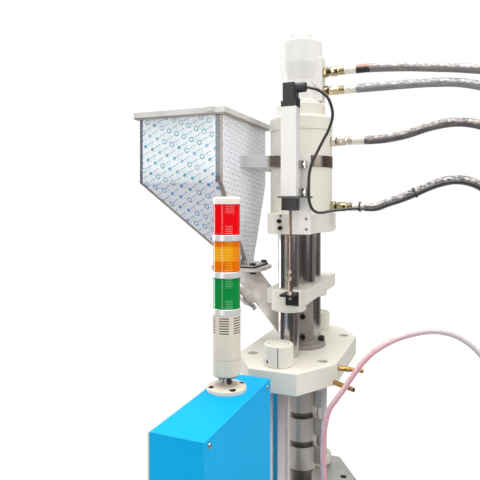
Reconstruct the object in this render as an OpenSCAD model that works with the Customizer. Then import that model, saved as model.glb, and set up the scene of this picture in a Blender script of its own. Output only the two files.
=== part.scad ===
// Vertical two-column injection moulding machine.
// Frame: the floor is z = 0 and the barrel axis is x = 0, y = 0.
// The operator stands on the -X side, the two columns stand along Y, and the hoses leave towards +X.

/* [Base cabinet] */
// Length of the cabinet from the operator side to the rear
base_l = 980; // [940:10:1100]
// Width of the cabinet
base_w = 660; // [640:10:760]
// Height of the cabinet without its feet
base_h = 610; // [560:5:680]
// Distance from the barrel axis to the operator side of the cabinet
base_front = 330; // [310:5:370]
// Thickness of the deck plate
deck_t = 12; // [8:1:20]
// Thickness of the bottom plate
bottom_t = 8; // [5:1:12]
// Side of the square posts
post_s = 50; // [40:2:70]
// Thickness of the sheet side panels
panel_t = 2; // [1:0.5:4]
// Height of the levelling feet
foot_h = 40; // [32:1:60]
// Diameter of a foot's pad
foot_d = 90; // [70:2:110]
// Diameter of a foot's stud
foot_stud_d = 20; // [16:1:24]

/* [Table and platens] */
// Length of the table plate along X
table_l = 440; // [400:10:520]
// Width of the table plate along Y
table_w = 500; // [460:10:520]
// Thickness of the table plate
table_t = 50; // [40:1:60]
// Length of a platen along the column line
platen_l = 424; // [410:2:460]
// Width of a platen
platen_w = 218; // [200:2:240]
// Length of a platen's straight long side
platen_side_l = 234; // [220:2:260]
// Width of a platen's straight short side
platen_end_w = 100; // [80:2:120]
// Thickness of the head platen
head_t = 45; // [35:1:60]
// Thickness of the two mould platens
mould_platen_t = 60; // [45:1:80]
// Chamfer along a platen's edges
platen_chamfer = 2; // [1:0.5:4]
// Gap between the table and the lower platen at rest
lift_gap = 60; // [50:1:80]
// Daylight between the two mould platens at rest
daylight = 350; // [320:5:420]
// Gap between the fixed platen and the head platen
barrel_gap = 310; // [290:5:360]
// Hole spacing of the mould bolts along Y
mould_bolt_y = 226; // [210:2:236]
// Hole spacing of the mould bolts along X
mould_bolt_x = 156; // [140:2:166]
// Diameter of the bolt holes in the head platen
head_hole_d = 23; // [16:1:26]
// Diameter of the mould bolt holes in the mould platens
mould_hole_d = 16; // [10:1:20]
// Diameter of the nozzle opening in the fixed platen
sprue_hole_d = 60; // [54:1:80]

/* [Columns] */
// Diameter of the tie bars
tie_d = 46; // [40:1:50]
// Distance between the tie bars
tie_pitch = 338; // [334:2:346]
// Diameter of the split nuts on top
split_nut_d = 60; // [58:1:68]
// Height of the split nuts on top
split_nut_h = 44; // [36:1:50]
// Width of a split nut's slit
slit_w = 2; // [1:0.5:3]
// Diameter of the plain ring nuts
ring_nut_d = 68; // [64:1:74]
// Height of the plain ring nuts
ring_nut_h = 25; // [20:1:30]
// Diameter of the guide rods
guide_d = 45; // [40:1:48]
// Distance between the guide rods
guide_pitch = 200; // [194:1:208]

/* [Clamp cylinder] */
// Diameter of the clamp ram
ram_d = 100; // [80:2:110]
// Outer diameter of the clamp cylinder
clamp_d = 160; // [150:2:180]
// Length of the clamp cylinder
clamp_len = 380; // [360:5:420]
// Wall of the clamp cylinder
clamp_wall = 20; // [14:1:24]
// Diameter of the ram's top flange
ram_flange_d = 150; // [130:2:170]
// Thickness of the ram's top flange
ram_flange_t = 15; // [10:1:20]
// Height of the ram's piston
ram_piston_h = 40; // [30:1:50]

/* [Barrel and screw] */
// Outer diameter of the barrel
barrel_d = 56; // [50:1:60]
// Distance from the barrel's end to the fixed platen's top
barrel_end_gap = 60; // [50:1:70]
// Diameter of the screw
screw_d = 30; // [24:1:32]
// Pitch of the screw's flight
screw_pitch = 30; // [26:1:36]
// Length of the nozzle
nozzle_len = 82; // [76:1:90]
// Height of a heater band
band_h = 52; // [40:1:56]
// Wall of a heater band
band_wall = 8; // [5:1:10]
// Gap between two heater bands
band_gap = 14; // [8:1:18]

/* [Feed housing] */
// Diameter of the base flange
feed_flange_d = 115; // [110:1:124]
// Thickness of the base flange
feed_flange_t = 8; // [6:0.5:12]
// Diameter of the upright body
feed_body_d = 57; // [52:1:62]
// Height of the upright body above the head platen
feed_body_h = 100; // [92:1:104]
// Outer diameter of the branch pipe
branch_d = 55; // [50:1:58]
// Bore of the branch pipe
branch_bore_d = 38; // [32:1:42]
// Lean of the branch pipe from the vertical
branch_lean = 38; // [34:0.5:42]
// Bearing of the branch pipe, turned from +X
branch_turn = 195; // [190:0.5:200]
// Height of the outlet flange's top above the head platen
outlet_h = 183; // [176:1:190]
// Thickness of the outlet flange
outlet_t = 8; // [6:0.5:12]
// Length of the outlet flange along X
outlet_l = 128; // [120:1:134]
// Width of the outlet flange along Y
outlet_w = 100; // [94:1:110]
// Bolt spacing on the outlet along X
outlet_bolt_x = 82; // [78:1:84]
// Bolt spacing on the outlet along Y
outlet_bolt_y = 76; // [72:1:80]
// Thickness of the black gasket plate
gasket_t = 3; // [2:0.5:5]
// Distance of the clean-out along the branch pipe
cleanout_at = 168; // [160:1:176]
// Diameter of the clean-out stub
cleanout_d = 50; // [44:1:54]

/* [Hopper] */
// Length of the hopper box along X
hopper_l = 205; // [190:1:220]
// Width of the hopper box along Y
hopper_w = 270; // [250:2:290]
// Height of the hopper's straight box
hopper_box_h = 145; // [130:1:160]
// Height of the hopper's tapered part
hopper_cone_h = 177; // [160:1:190]
// Sheet thickness of the hopper
hopper_wall = 2; // [1:0.25:3]
// Side of the hopper's square neck
neck_s = 50; // [44:1:54]
// Height of the neck
neck_h = 11; // [8:1:16]
// Thickness of the hopper's foot plate
hopper_foot_t = 3; // [2:0.5:5]
// Width of the turned-out rim
rim_w = 8; // [6:0.5:12]
// Height of the lid's skirt
lid_h = 12; // [9:0.5:16]
// Sheet thickness of the lid
lid_wall = 1.5; // [1:0.25:2.5]

/* [Injection unit] */
// Height of the crosshead's bosses above the head platen at rest
crosshead_low = 100; // [96:1:104]
// Height of the crosshead's bosses
boss_h = 46.5; // [42:0.5:50]
// Thickness of the crosshead's arm
arm_t = 31.5; // [26:0.5:34]
// Width of the crosshead's arm
arm_w = 86; // [80:1:90]
// Diameter of the crosshead's bosses
boss_d = 75; // [70:1:80]
// Height of the clamp flange's underside above the head platen
flange_low = 267; // [263:1:275]
// Thickness of the clamp flange
flange_t = 43; // [36:1:48]
// Diameter of the clamp flange's front ear
ear_front_d = 92; // [86:1:98]
// Diameter of the clamp flange's rear ear
ear_rear_d = 120; // [110:1:126]
// Outer diameter of the injection cylinder
cyl_d = 144; // [138:1:148]
// Length of the injection cylinder
cyl_len = 190; // [180:1:205]
// Bore of the injection cylinder
cyl_bore_d = 112; // [104:1:118]
// Height of the cylinder's top cap
cap_h = 33; // [26:1:38]
// Diameter of the motor mount on the cap
mount_d = 112; // [104:1:118]
// Height of the motor mount on the cap
mount_h = 30; // [24:1:34]
// Diameter of the piston rod
rod_d = 66; // [60:1:70]
// Height of the injection piston
piston_h = 40; // [32:1:44]
// Diameter of the splined drive shaft
shaft_d = 28; // [24:1:30]

/* [Hydraulic motor] */
// Diameter of the motor's neck
motor_neck_d = 82; // [76:1:88]
// Diameter of the motor's drum
motor_drum_d = 98; // [92:1:104]
// Height of the motor's neck
motor_neck_h = 55; // [50:1:60]
// Height of the taper between neck and drum
motor_taper_h = 39; // [36:1:44]
// Height of the drum
motor_drum_h = 53; // [46:1:60]
// Reach of the port block from the barrel axis
port_reach = 54; // [52:1:58]
// Height of the port block
port_block_h = 100; // [92:1:104]
// Width of the port block
port_block_w = 30; // [28:1:36]
// Height of the lower port above the motor's foot
port_low = 30; // [26:1:34]
// Distance between the two ports
port_pitch = 44; // [42:1:50]

/* [Position sensor] */
// Width of the sensor's housing along X
sensor_w = 32; // [28:1:36]
// Depth of the sensor's housing along Y
sensor_deep = 30; // [26:1:34]
// Length of the sensor's housing
sensor_len = 184; // [175:1:195]
// Height of the sensor's lower end cap
cap_low_h = 25; // [20:1:28]
// Height of the sensor's upper end cap
cap_top_h = 12; // [9:1:16]
// Place of the sensor along X
sensor_x = 27; // [24:1:30]
// Distance from the front guide rod to the sensor's axis
sensor_gap = 75; // [72:1:80]
// Diameter of the sensor's rod
sensor_rod_d = 6; // [4:0.5:8]
// Height of the carrier plate
carrier_h = 165; // [150:1:175]
// Width of the carrier plate
carrier_w = 40; // [36:1:44]
// Thickness of the carrier plate
carrier_t = 3; // [2:0.5:5]

/* [Signal tower] */
// Diameter of the signal tower
tower_d = 50; // [44:1:54]
// Diameter of the tower's base disc
tower_disc_d = 71; // [64:1:76]
// Place of the tower along X
tower_x = -42; // [-44:1:-36]
// Distance from the box's rear face to the tower's axis
tower_inset = 82; // [76:1:100]
// Height of the tower's lower body
tower_body_h = 111; // [104:1:120]
// Height of one coloured lens
lens_h = 54; // [48:0.5:60]
// Height of one silver ring
ring_h = 11; // [9:0.5:14]
// Height of the top cap
tower_cap_h = 13; // [10:0.5:18]

/* [Control box] */
// Width of the box along X
box_w = 92; // [86:1:110]
// Length of the box along Y
box_l = 280; // [260:5:320]
// Height of the box
box_h = 430; // [400:5:480]
// Gap between the table and the box
box_gap = 7; // [4:1:20]
// Place of the box's +X face
box_x = 12; // [8:1:20]
// Sheet thickness of the box
box_wall = 2; // [1:0.5:3]
// Side of the box's post
box_post_s = 50; // [40:2:58]

/* [Rear deck] */
// Length of the valve manifold
manifold_l = 250; // [240:5:270]
// Width of the valve manifold
manifold_w = 100; // [90:2:120]
// Height of the valve manifold
manifold_h = 110; // [100:1:120]
// Distance from the cabinet's rear end to the middle of the valve manifold
manifold_inset = 140; // [130:2:150]
// Distance from the cabinet's rear end to the wall of the oil tank
tank_l = 240; // [220:5:260]
// Thickness of the tank wall
tank_t = 4; // [3:0.5:8]

/* [Pump unit] */
// Diameter of the electric motor
pump_motor_d = 180; // [160:5:200]
// Length of the electric motor
pump_motor_l = 230; // [200:5:260]
// Diameter of the bell housing
bell_d = 120; // [100:5:140]
// Length of the bell housing
bell_l = 60; // [50:5:80]
// Diameter of the gear pump
pump_d = 90; // [80:5:110]
// Length of the gear pump
pump_l = 80; // [60:5:100]
// Distance from the tank wall to the motor's axis
pump_inset = 150; // [130:5:170]
// Gap between the motor and the bottom plate
pump_lift = 20; // [10:2:40]

/* [Hidden] */
$fn = 48;

// Clearances: a running fit, a fixed fit, a free gap and the overshoot of a cut
run = 0.05;
fit = 0.1;
free = 0.3;
over = 1;

// Heights above the floor, from the bottom up
deck_z = foot_h + base_h;
table_z = deck_z + table_t;
moving_z = table_z + lift_gap;
moving_top = moving_z + mould_platen_t;
fixed_z = moving_top + daylight;
fixed_top = fixed_z + mould_platen_t;
head_z = fixed_top + barrel_gap;
head_top = head_z + head_t;
flange_top = flange_low + flange_t;
cyl_top = flange_top + cyl_len;
cap_top = cyl_top + cap_h;
motor_foot = cap_top + mount_h;
motor_top = motor_foot + motor_neck_h + motor_taper_h + motor_drum_h;

// Travel of the screw, of the lower platen and of the stop button
inject_travel = 105;
lift_travel = 180;
button_travel = 5;

// Plan positions
half_l = platen_l / 2;
box_y = table_w / 2 + box_gap;
tower_y = box_y + tower_inset;
half_w = platen_w / 2;
side_turn = -atan2(half_w - platen_end_w / 2, half_l - platen_side_l / 2);
side_mid = [(half_w + platen_end_w / 2) / 2, -(half_l + platen_side_l / 2) / 2];
base_x0 = -base_front;
base_x1 = base_l - base_front;
tie_y = tie_pitch / 2;
guide_y = guide_pitch / 2;
sensor_y = guide_y + sensor_gap;
TIES = [-tie_y, tie_y];
GUIDES = [-guide_y, guide_y];
BOLTS = [for (x = [-1, 1], y = [-1, 1]) [x * mould_bolt_x / 2, y * mould_bolt_y / 2]];

function polar(r, a) = [r * cos(a), r * sin(a)];
function unit(v) = v / norm(v);

// Hose ends
stub_d = 12;
// Cord routes, chosen by hand: [x, y, height above the head platen], then a hanging run to the deck
hose_d = 19.5;
water_d = 11;
cable_d = 6;
port_low_z = 14.5;
port_top_z = 165;
fitting_l = 76;
straight = 24;
port_z = [
    motor_foot + port_low + port_pitch, motor_foot + port_low,
    flange_top + port_top_z, flange_top + port_low_z
];
port_x = [port_reach, port_reach, cyl_d / 2, cyl_d / 2];
manifold_x = base_x1 - manifold_inset;
outlet_pitch = 60;
MANIFOLD_PORTS = [for (k = [0 : 3]) [manifold_x + outlet_pitch * (1.5 - k), 0]];
LEADS = [
    [
        [190, 0, 635], [240, 0, 631], [290, 0, 625], [350, 0, 617], [415, 0, 604], [475, 0, 580],
        [527, -1, 542], [566, -2, 491], [590, -4, 431], [601, -6, 363], [604, -8, 290]
    ],
    [
        [190, 0, 593], [240, 0, 593], [290, 0, 592], [345, 0, 587], [397, 1, 573], [445, 2, 549],
        [486, 4, 516], [516, 6, 473], [534, 8, 423], [542, 10, 365], [545, 12, 295]
    ],
    [
        [200, 0, 477], [240, 0, 484], [284, 0, 497], [331, 0, 504], [372, -2, 499],
        [410, -4, 483], [442, -6, 456], [464, -8, 422], [478, -10, 382], [485, -12, 335],
        [488, -13, 275]
    ],
    [
        [198, 0, 334], [225, 0, 343], [254, 0, 355], [284, 0, 369], [307, 0, 377], [332, 0, 382],
        [357, 0, 380], [381, 2, 371], [402, 4, 355], [417, 6, 332], [426, 8, 303], [430, 10, 270],
        [432, 12, 220]
    ]
];
BOWS = [-8, 8, -6, 6];
// A run from a down to b that bows out sideways and enters b straight
function hang(a, b, n, bow) = [
    for (k = [1 : n]) let (t = k / n, e = (1 - cos(180 * t)) / 2)
        [a[0] + (b[0] - a[0]) * e, a[1] + (b[1] - a[1]) * e + bow * (1 - cos(360 * t)) / 2,
            a[2] + (b[2] - a[2]) * t]
];
function raised(points) = [for (p = points) p + [0, 0, head_top]];
function hose_route(k) =
    let (
        start = [port_x[k] + fitting_l, 0, head_top + port_z[k]],
        lead = raised(LEADS[k]),
        out = [MANIFOLD_PORTS[k][0], 0, deck_z + manifold_h + fitting_l]
    )
    concat(
        [start, start + [straight, 0, 0]], lead,
        hang(lead[len(lead) - 1], out + [0, 0, 2 * straight], 12, BOWS[k]), [out]
    );
HOSES = [for (k = [0 : 3]) hose_route(k)];
WATER_TAIL = [430, -160];
elbow_out = 25;
elbow_z = fixed_z + mould_platen_t / 2;
ELBOW = side_mid + polar(elbow_out, side_turn);
tail_l = 44;
WATER_LEAD = [
    [ELBOW[0], ELBOW[1] - 1, -285], [ELBOW[0] - 1, ELBOW[1] - 3, -245], [98, -183, -205],
    [96, -184, -165], [97, -182, -130], [100, -179, -100],
    [107, -175, -73], [118, -171, -56], [131, -166, -37], [144, -160, -16], [157, -155, 4],
    [172, -149, 24], [195, -139, 45], [234, -124, 67], [285, -108, 81], [325, -100, 79],
    [360, -98, 63], [388, -100, 35], [408, -106, -2], [420, -114, -47], [426, -122, -100]
];
WATER = concat(
    [
        [ELBOW[0], ELBOW[1], elbow_z + tail_l],
        [ELBOW[0], ELBOW[1], elbow_z + tail_l + straight]
    ],
    raised(WATER_LEAD),
    hang(
        raised(WATER_LEAD)[len(WATER_LEAD) - 1],
        [WATER_TAIL[0], WATER_TAIL[1], deck_z + tail_l + straight], 10, 0
    ),
    [[WATER_TAIL[0], WATER_TAIL[1], deck_z + tail_l]]
);
// The cable swings from the sensor to the fourth hose, runs down beside it and leaves it for its gland
plug_x = sensor_x - 1;
sensor_z = flange_low + 76;
plug_z = sensor_z + sensor_len + cap_top_h;
plug_h = 37;
plug_s = 24;
outlet_z = plug_h - 10;
CABLE_LEAD = [
    [70, -174, 563], [81, -170, 560], [90, -163, 554], [99, -155, 545], [104, -148, 531],
    [106, -142, 515], [103, -138, 500], [95, -136, 480], [86, -139, 462], [78, -144, 444],
    [71, -150, 427], [65, -155, 410], [61, -157, 390], [60, -157, 369], [60, -157, 349],
    [62, -156, 333], [67, -152, 320], [74, -143, 314], [81, -131, 313], [89, -112, 315],
    [97, -86, 317], [106, -60, 318], [111, -40, 319], [119, -23, 320], [131, -14.5, 320.5],
    [150, -13.6, 320.5]
];
lead_drawn_y = 175;
CABLE_SIDE = [0, -13.4, -4];
GLAND = [MANIFOLD_PORTS[3][0], -88];
CABLE_TAIL = [
    [GLAND[0], -20, 205], [GLAND[0], -34, 168], [GLAND[0], -54, 136], [GLAND[0], -74, 104],
    [GLAND[0], -86, 68], [GLAND[0], GLAND[1], 30], [GLAND[0], GLAND[1], 9]
];
CABLE = concat(
    [
        [plug_x + plug_s / 2 + 12, -sensor_y, head_top + plug_z + outlet_z],
        [plug_x + plug_s / 2 + 22, -sensor_y, head_top + plug_z + outlet_z]
    ],
    raised([for (p = CABLE_LEAD) [p[0], p[1] * sensor_y / lead_drawn_y, p[2]]]),
    [for (i = [1 : len(HOSES[3]) - 2]) HOSES[3][i] + CABLE_SIDE],
    [for (p = CABLE_TAIL) p + [0, 0, deck_z]]
);

// Direction of a route at point i, and side vectors carried along it without twist
function heading(p, i) = unit(p[min(i + 1, len(p) - 1)] - p[max(i - 1, 0)]);
function square_to(v, t) = unit(v - t * (v * t));
function side_start(t) = square_to(abs(t[1]) < 0.8 ? [0, 1, 0] : [0, 0, 1], t);
function sides(p) = [
    for (
        i = 0, u = side_start(heading(p, 0));
        i < len(p);
        i = i + 1, u = square_to(u, heading(p, i))
    ) u
];

// Closed tube of diameter d swept along the points p, with n sides
module tube(p, d, n) {
    u = sides(p);
    polyhedron(
        points = [
            for (i = [0 : len(p) - 1])
                let (t = heading(p, i), v = cross(t, u[i]))
                for (j = [0 : n - 1])
                    p[i] + d / 2 * (cos(360 * j / n) * u[i] + sin(360 * j / n) * v)
        ],
        faces = concat(
            [[for (j = [0 : n - 1]) j]],
            [
                for (i = [0 : len(p) - 2], j = [0 : n - 1])
                    [i * n + j, (i + 1) * n + j, (i + 1) * n + (j + 1) % n, i * n + (j + 1) % n]
            ],
            [[for (j = [n - 1 : -1 : 0]) (len(p) - 1) * n + j]]
        ),
        convexity = 6
    );
}

// Places children on a route at point i, with z along it and y as near to +Y as it can be
module on_route(p, i) {
    t = heading(p, i);
    y = square_to([0, 1, 0], t);
    x = cross(y, t);
    multmatrix([
        [x[0], y[0], t[0], p[i][0]],
        [x[1], y[1], t[1], p[i][1]],
        [x[2], y[2], t[2], p[i][2]]
    ]) children();
}

// Small shared shapes
module at_head() {
    translate([0, 0, head_top]) children();
}

module along_x() {
    rotate([0, 90, 0]) children();
}

module along_y() {
    rotate([-90, 0, 0]) children();
}

module box(x0, x1, y0, y1, z0, z1) {
    translate([x0, y0, z0]) cube([x1 - x0, y1 - y0, z1 - z0]);
}

// Round bar with chamfered ends
module bar(d, h, c) {
    rotate_extrude() polygon([
        [0, 0], [d / 2 - c, 0], [d / 2, c], [d / 2, h - c], [d / 2 - c, h], [0, h]
    ]);
}

module hole(d, h) {
    translate([0, 0, -over]) cylinder(d = d, h = h + 2 * over);
}

module ring(d, bore, h) {
    difference() {
        cylinder(d = d, h = h);
        hole(bore, h);
    }
}

module hexagon(across, h) {
    cylinder(d = across / cos(30), h = h, $fn = 6);
}

// Socket screw standing on z = 0, with its shank below
module socket_screw(d, shank) {
    head_d = 1.5 * d;
    difference() {
        union() {
            cylinder(d = head_d, h = d);
            translate([0, 0, -shank]) cylinder(d = d, h = shank + over);
        }
        translate([0, 0, d / 2]) hexagon(0.8 * d, d);
    }
}

// Hexagon screw standing on z = 0, with its shank below
module hex_screw(d, shank) {
    hexagon(1.6 * d, 0.65 * d);
    translate([0, 0, -shank]) cylinder(d = d, h = shank + over);
}

// Platen outline and its chamfered plate
OCTAGON = [
    [platen_end_w / 2, half_l], [-platen_end_w / 2, half_l], [-half_w, platen_side_l / 2],
    [-half_w, -platen_side_l / 2], [-platen_end_w / 2, -half_l], [platen_end_w / 2, -half_l],
    [half_w, -platen_side_l / 2], [half_w, platen_side_l / 2]
];

module edge_cuts(z) {
    edge = platen_chamfer * sqrt(2);
    for (i = [0 : 7]) {
        a = OCTAGON[i];
        b = OCTAGON[(i + 1) % 8];
        along = b - a;
        mid = (a + b) / 2;
        translate([mid[0], mid[1], z])
            rotate([0, 0, atan2(along[1], along[0])])
            rotate([45, 0, 0])
            cube([norm(along) + 4 * platen_chamfer, edge, edge], center = true);
    }
}

module platen_plate(t) {
    difference() {
        linear_extrude(height = t) polygon(OCTAGON);
        edge_cuts(0);
        edge_cuts(t);
    }
}

// Floor and base

module machine_feet() {
    inset = foot_d / 2 + 10;
    pad_h = 12;
    color("dimgray")
    for (x = [base_x0 + inset, (base_x0 + base_x1) / 2, base_x1 - inset])
        for (y = [-base_w / 2 + inset, base_w / 2 - inset])
            translate([x, y, 0]) {
                bar(foot_d, pad_h, 2);
                cylinder(d = foot_stud_d, h = foot_h);
                translate([0, 0, foot_h - 0.6 * foot_stud_d]) hexagon(1.5 * foot_stud_d, 0.6 * foot_stud_d);
            }
}

// Square frame of posts, a bottom plate, a deck and the wall of the oil tank
tank_x = base_x1 - tank_l;
module base_cabinet() {
    y1 = base_w / 2 - panel_t;
    x0 = base_x0 + panel_t;
    x1 = base_x1 - panel_t;
    color("dodgerblue")
    difference() {
        union() {
            box(x0, x1, -y1, y1, foot_h, foot_h + bottom_t);
            box(x0, x1, -y1, y1, deck_z - deck_t, deck_z);
            box(tank_x, tank_x + tank_t, -y1, y1, foot_h + over, deck_z - over);
            for (x = [x0, x1 - post_s], y = [-y1, y1 - post_s])
                box(x, x + post_s, y, y + post_s, foot_h + over, deck_z - over);
        }
        for (y = TIES)
            translate([0, y, deck_z - deck_t]) hole(tie_d + 2 * fit, deck_t);
        translate([0, 0, deck_z - deck_t]) hole(ram_d + 4, deck_t);
        translate([WATER_TAIL[0], WATER_TAIL[1], deck_z - deck_t]) hole(6 + 2 * fit, deck_t);
    }
}

// Two long side panels with louvre slots, and the two end panels
module side_panels() {
    x0 = base_x0 + panel_t;
    x1 = base_x1 - panel_t;
    slot_l = 120;
    slot_h = 8;
    slot_pitch = 24;
    slot_inset = 100;
    z0 = foot_h;
    color("deepskyblue")
    union() {
        difference() {
            for (s = [-1, 1])
                translate([0, s * (base_w - panel_t) / 2, 0])
                    box(x0, x1, -panel_t / 2, panel_t / 2, z0, deck_z);
            for (k = [0 : 7])
                translate([x1 - slot_inset - slot_l, -base_w, z0 + slot_l + k * slot_pitch])
                    cube([slot_l, 2 * base_w, slot_h]);
        }
        for (x = [base_x0, base_x1 - panel_t])
            box(x, x + panel_t, -base_w / 2, base_w / 2, z0, deck_z);
    }
}

module table_plate() {
    color("beige")
    difference() {
        box(-table_l / 2, table_l / 2, -table_w / 2, table_w / 2, deck_z, table_z);
        for (y = TIES)
            translate([0, y, deck_z]) hole(tie_d + 2 * fit, table_t);
        translate([0, 0, deck_z]) hole(ram_d + 4, table_t);
    }
}

// The lower end sits in the nut under the deck, the upper end in the split nut
tie_low = deck_z - deck_t - ring_nut_h;
module tie_bars() {
    color("gainsboro")
    for (y = TIES)
        translate([0, y, tie_low]) bar(tie_d, head_top + split_nut_h - 2 - tie_low, 2);
}

module ring_nut() {
    difference() {
        bar(ring_nut_d, ring_nut_h, 1.5);
        hole(tie_d + 2 * fit, ring_nut_h);
        for (a = [0 : 90 : 270])
            rotate([0, 0, a])
                translate([ring_nut_d / 2 - 4, -4, -over]) cube([5, 8, ring_nut_h + 2 * over]);
    }
}

slit_turn = -76;
set_screw_turn = -126;
set_screw_z = 10;
module split_nut(turn) {
    difference() {
        bar(split_nut_d, split_nut_h, 1.5);
        hole(tie_d + 2 * fit, split_nut_h);
        rotate([0, 0, slit_turn + turn])
            translate([0, -slit_w / 2, -over]) cube([split_nut_d, slit_w, split_nut_h + 2 * over]);
        rotate([0, 0, set_screw_turn + turn])
            translate([tie_d / 2 - over, 0, set_screw_z]) along_x() cylinder(d = 8, h = split_nut_d);
    }
}

module tie_bar_nuts() {
    color("beige")
    for (y = TIES) {
        translate([0, y, head_top]) split_nut(y < 0 ? 0 : 180);
        translate([0, y, tie_low]) ring_nut();
        translate([0, y, fixed_top]) ring_nut();
        translate([0, y, fixed_z - ring_nut_h]) ring_nut();
    }
}

// Mould platens, ram and clamp cylinder

module mould_platen(bar_gap) {
    difference() {
        platen_plate(mould_platen_t);
        for (y = TIES)
            translate([0, y, 0]) hole(tie_d + 2 * bar_gap, mould_platen_t);
        for (b = BOLTS)
            translate([b[0], b[1], 0]) hole(mould_hole_d, mould_platen_t);
    }
}

module fixed_platen() {
    color("lightgray")
    translate([0, 0, fixed_z])
    difference() {
        mould_platen(fit);
        hole(sprue_hole_d, mould_platen_t);
        translate([side_mid[0], side_mid[1], mould_platen_t / 2])
            rotate([0, 0, side_turn]) translate([-10, 0, 0]) along_x() cylinder(d = 6 + 2 * fit, h = 20);
    }
}

module moving_platen() {
    color("lightgray")
    translate([0, 0, moving_z]) mould_platen(run);
}

clamp_bottom = deck_z - deck_t - clamp_len;
module clamp_ram() {
    piston_z = clamp_bottom + clamp_wall + 5;
    bore_d = clamp_d - 2 * clamp_wall;
    color("gainsboro") {
        translate([0, 0, piston_z]) cylinder(d = bore_d - 2 * run, h = ram_piston_h);
        translate([0, 0, piston_z]) cylinder(d = ram_d, h = moving_z - piston_z);
        translate([0, 0, moving_z - ram_flange_t]) cylinder(d = ram_flange_d, h = ram_flange_t);
    }
}

module clamp_cylinder() {
    gland_h = 30;
    bore_d = clamp_d - 2 * clamp_wall;
    color("slategray")
    translate([0, 0, clamp_bottom])
    difference() {
        union() {
            cylinder(d = clamp_d, h = clamp_len);
            translate([0, 0, clamp_len - 20]) cylinder(d = clamp_d + 40, h = 20);
        }
        translate([0, 0, clamp_wall]) cylinder(d = bore_d, h = clamp_len - clamp_wall - gland_h);
        translate([0, 0, clamp_len - gland_h - over]) cylinder(d = ram_d + 2 * run, h = gland_h + 2 * over);
    }
}

// Electric motor, bell housing and gear pump on the cabinet's bottom plate
module pump_unit() {
    floor_z = foot_h + bottom_t;
    axis_z = floor_z + pump_motor_d / 2 + pump_lift;
    y0 = -pump_motor_l / 2;
    y1 = pump_motor_l / 2;
    foot_w = pump_motor_d / 3;
    foot_l = pump_motor_l / 5;
    color("slategray")
    translate([tank_x - pump_inset, 0, 0]) {
        translate([0, y0, axis_z]) along_y() cylinder(d = pump_motor_d, h = pump_motor_l);
        translate([0, y1 - over, axis_z]) along_y() cylinder(d = bell_d, h = bell_l + over);
        translate([0, y1 + bell_l - over, axis_z]) along_y() cylinder(d = pump_d, h = pump_l + over);
        for (y = [y0 + foot_l / 2, y1 - 1.5 * foot_l])
            box(-foot_w, foot_w, y, y + foot_l, floor_z, axis_z - pump_motor_d / 4);
    }
}

// Head platen and injection unit

module head_platen() {
    color("beige")
    translate([0, 0, head_z])
    difference() {
        platen_plate(head_t);
        for (y = TIES)
            translate([0, y, 0]) hole(tie_d + 2 * fit, head_t);
        for (y = GUIDES)
            translate([0, y, 0]) hole(guide_d + 2 * fit, head_t);
        hole(barrel_d + 2 * fit, head_t);
        for (b = BOLTS)
            translate([b[0], b[1], 0]) hole(head_hole_d, head_t);
        for (p = FEED_SCREWS)
            translate([p[0], p[1], head_t - 14]) cylinder(d = feed_screw_size + 2 * fit, h = 15);
        for (f = WATER_PORTS)
            translate([f[0], f[1], head_t + f[2]])
                rotate([0, 0, f[3]]) translate([-10, 0, 0]) along_x() cylinder(d = 6 + 2 * fit, h = 20);
    }
}

module guide_rods() {
    color("gainsboro")
    for (y = GUIDES)
        translate([0, y, head_z]) bar(guide_d, head_t + flange_top - 6, 2);
}

// Feed housing: base flange, upright body, branch pipe, outlet flange and clean-out stub
feed_screw_size = 10;
FEED_SCREWS = [for (k = [0 : 2]) polar(feed_flange_d / 2 - 9.5, 23 + 120 * k)];
outlet_reach = (outlet_h - outlet_t / 2) * tan(branch_lean);
OUTLET = polar(outlet_reach, branch_turn);
OUTLET_BOLTS = [
    for (x = [-1, 1], y = [-1, 1])
        [OUTLET[0] + x * outlet_bolt_x / 2, OUTLET[1] + y * outlet_bolt_y / 2]
];
cleanout_out = branch_d / 2 + 10;

module along_branch() {
    rotate([0, 0, branch_turn]) rotate([0, branch_lean, 0]) children();
}

module cut_corners(l, w, c) {
    polygon([
        [l / 2 - c, w / 2], [-l / 2 + c, w / 2], [-l / 2, w / 2 - c], [-l / 2, -w / 2 + c],
        [-l / 2 + c, -w / 2], [l / 2 - c, -w / 2], [l / 2, -w / 2 + c], [l / 2, w / 2 - c]
    ]);
}

outlet_shift = 4;
module feed_housing() {
    reach = 2 * outlet_h;
    color("silver")
    at_head()
    difference() {
        union() {
            cylinder(d = feed_flange_d, h = feed_flange_t);
            cylinder(d = feed_body_d, h = feed_body_h);
            intersection() {
                along_branch() cylinder(d = branch_d, h = 2 * outlet_h);
                box(-reach, reach, -reach, reach, feed_flange_t / 2, outlet_h - outlet_t / 2);
            }
            along_branch()
                translate([0, 0, cleanout_at]) along_x() cylinder(d = cleanout_d, h = cleanout_out);
            translate([OUTLET[0] - outlet_shift, OUTLET[1], outlet_h - outlet_t])
                linear_extrude(height = outlet_t) cut_corners(outlet_l, outlet_w, 10);
        }
        hole(screw_d + 2 * run, feed_body_h);
        along_branch()
            translate([0, 0, 30]) cylinder(d = branch_bore_d, h = 2 * outlet_h);
        along_branch()
            translate([0, 0, cleanout_at]) along_x() cylinder(d = cleanout_d - 16, h = cleanout_out + over);
        for (p = FEED_SCREWS)
            translate([p[0], p[1], 0]) hole(feed_screw_size + 2 * fit, feed_flange_t);
        for (p = OUTLET_BOLTS)
            translate([p[0], p[1], outlet_h - outlet_t]) hole(8 + 2 * fit, outlet_t);
        for (z = PLUG_Z)
            rotate([0, 0, plug_turn])
                translate([feed_body_d / 2 - 6, 0, z]) along_x() cylinder(d = 8 + 2 * fit, h = 10);
    }
}
plug_turn = -68;
PLUG_Z = [24, 71];

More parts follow.
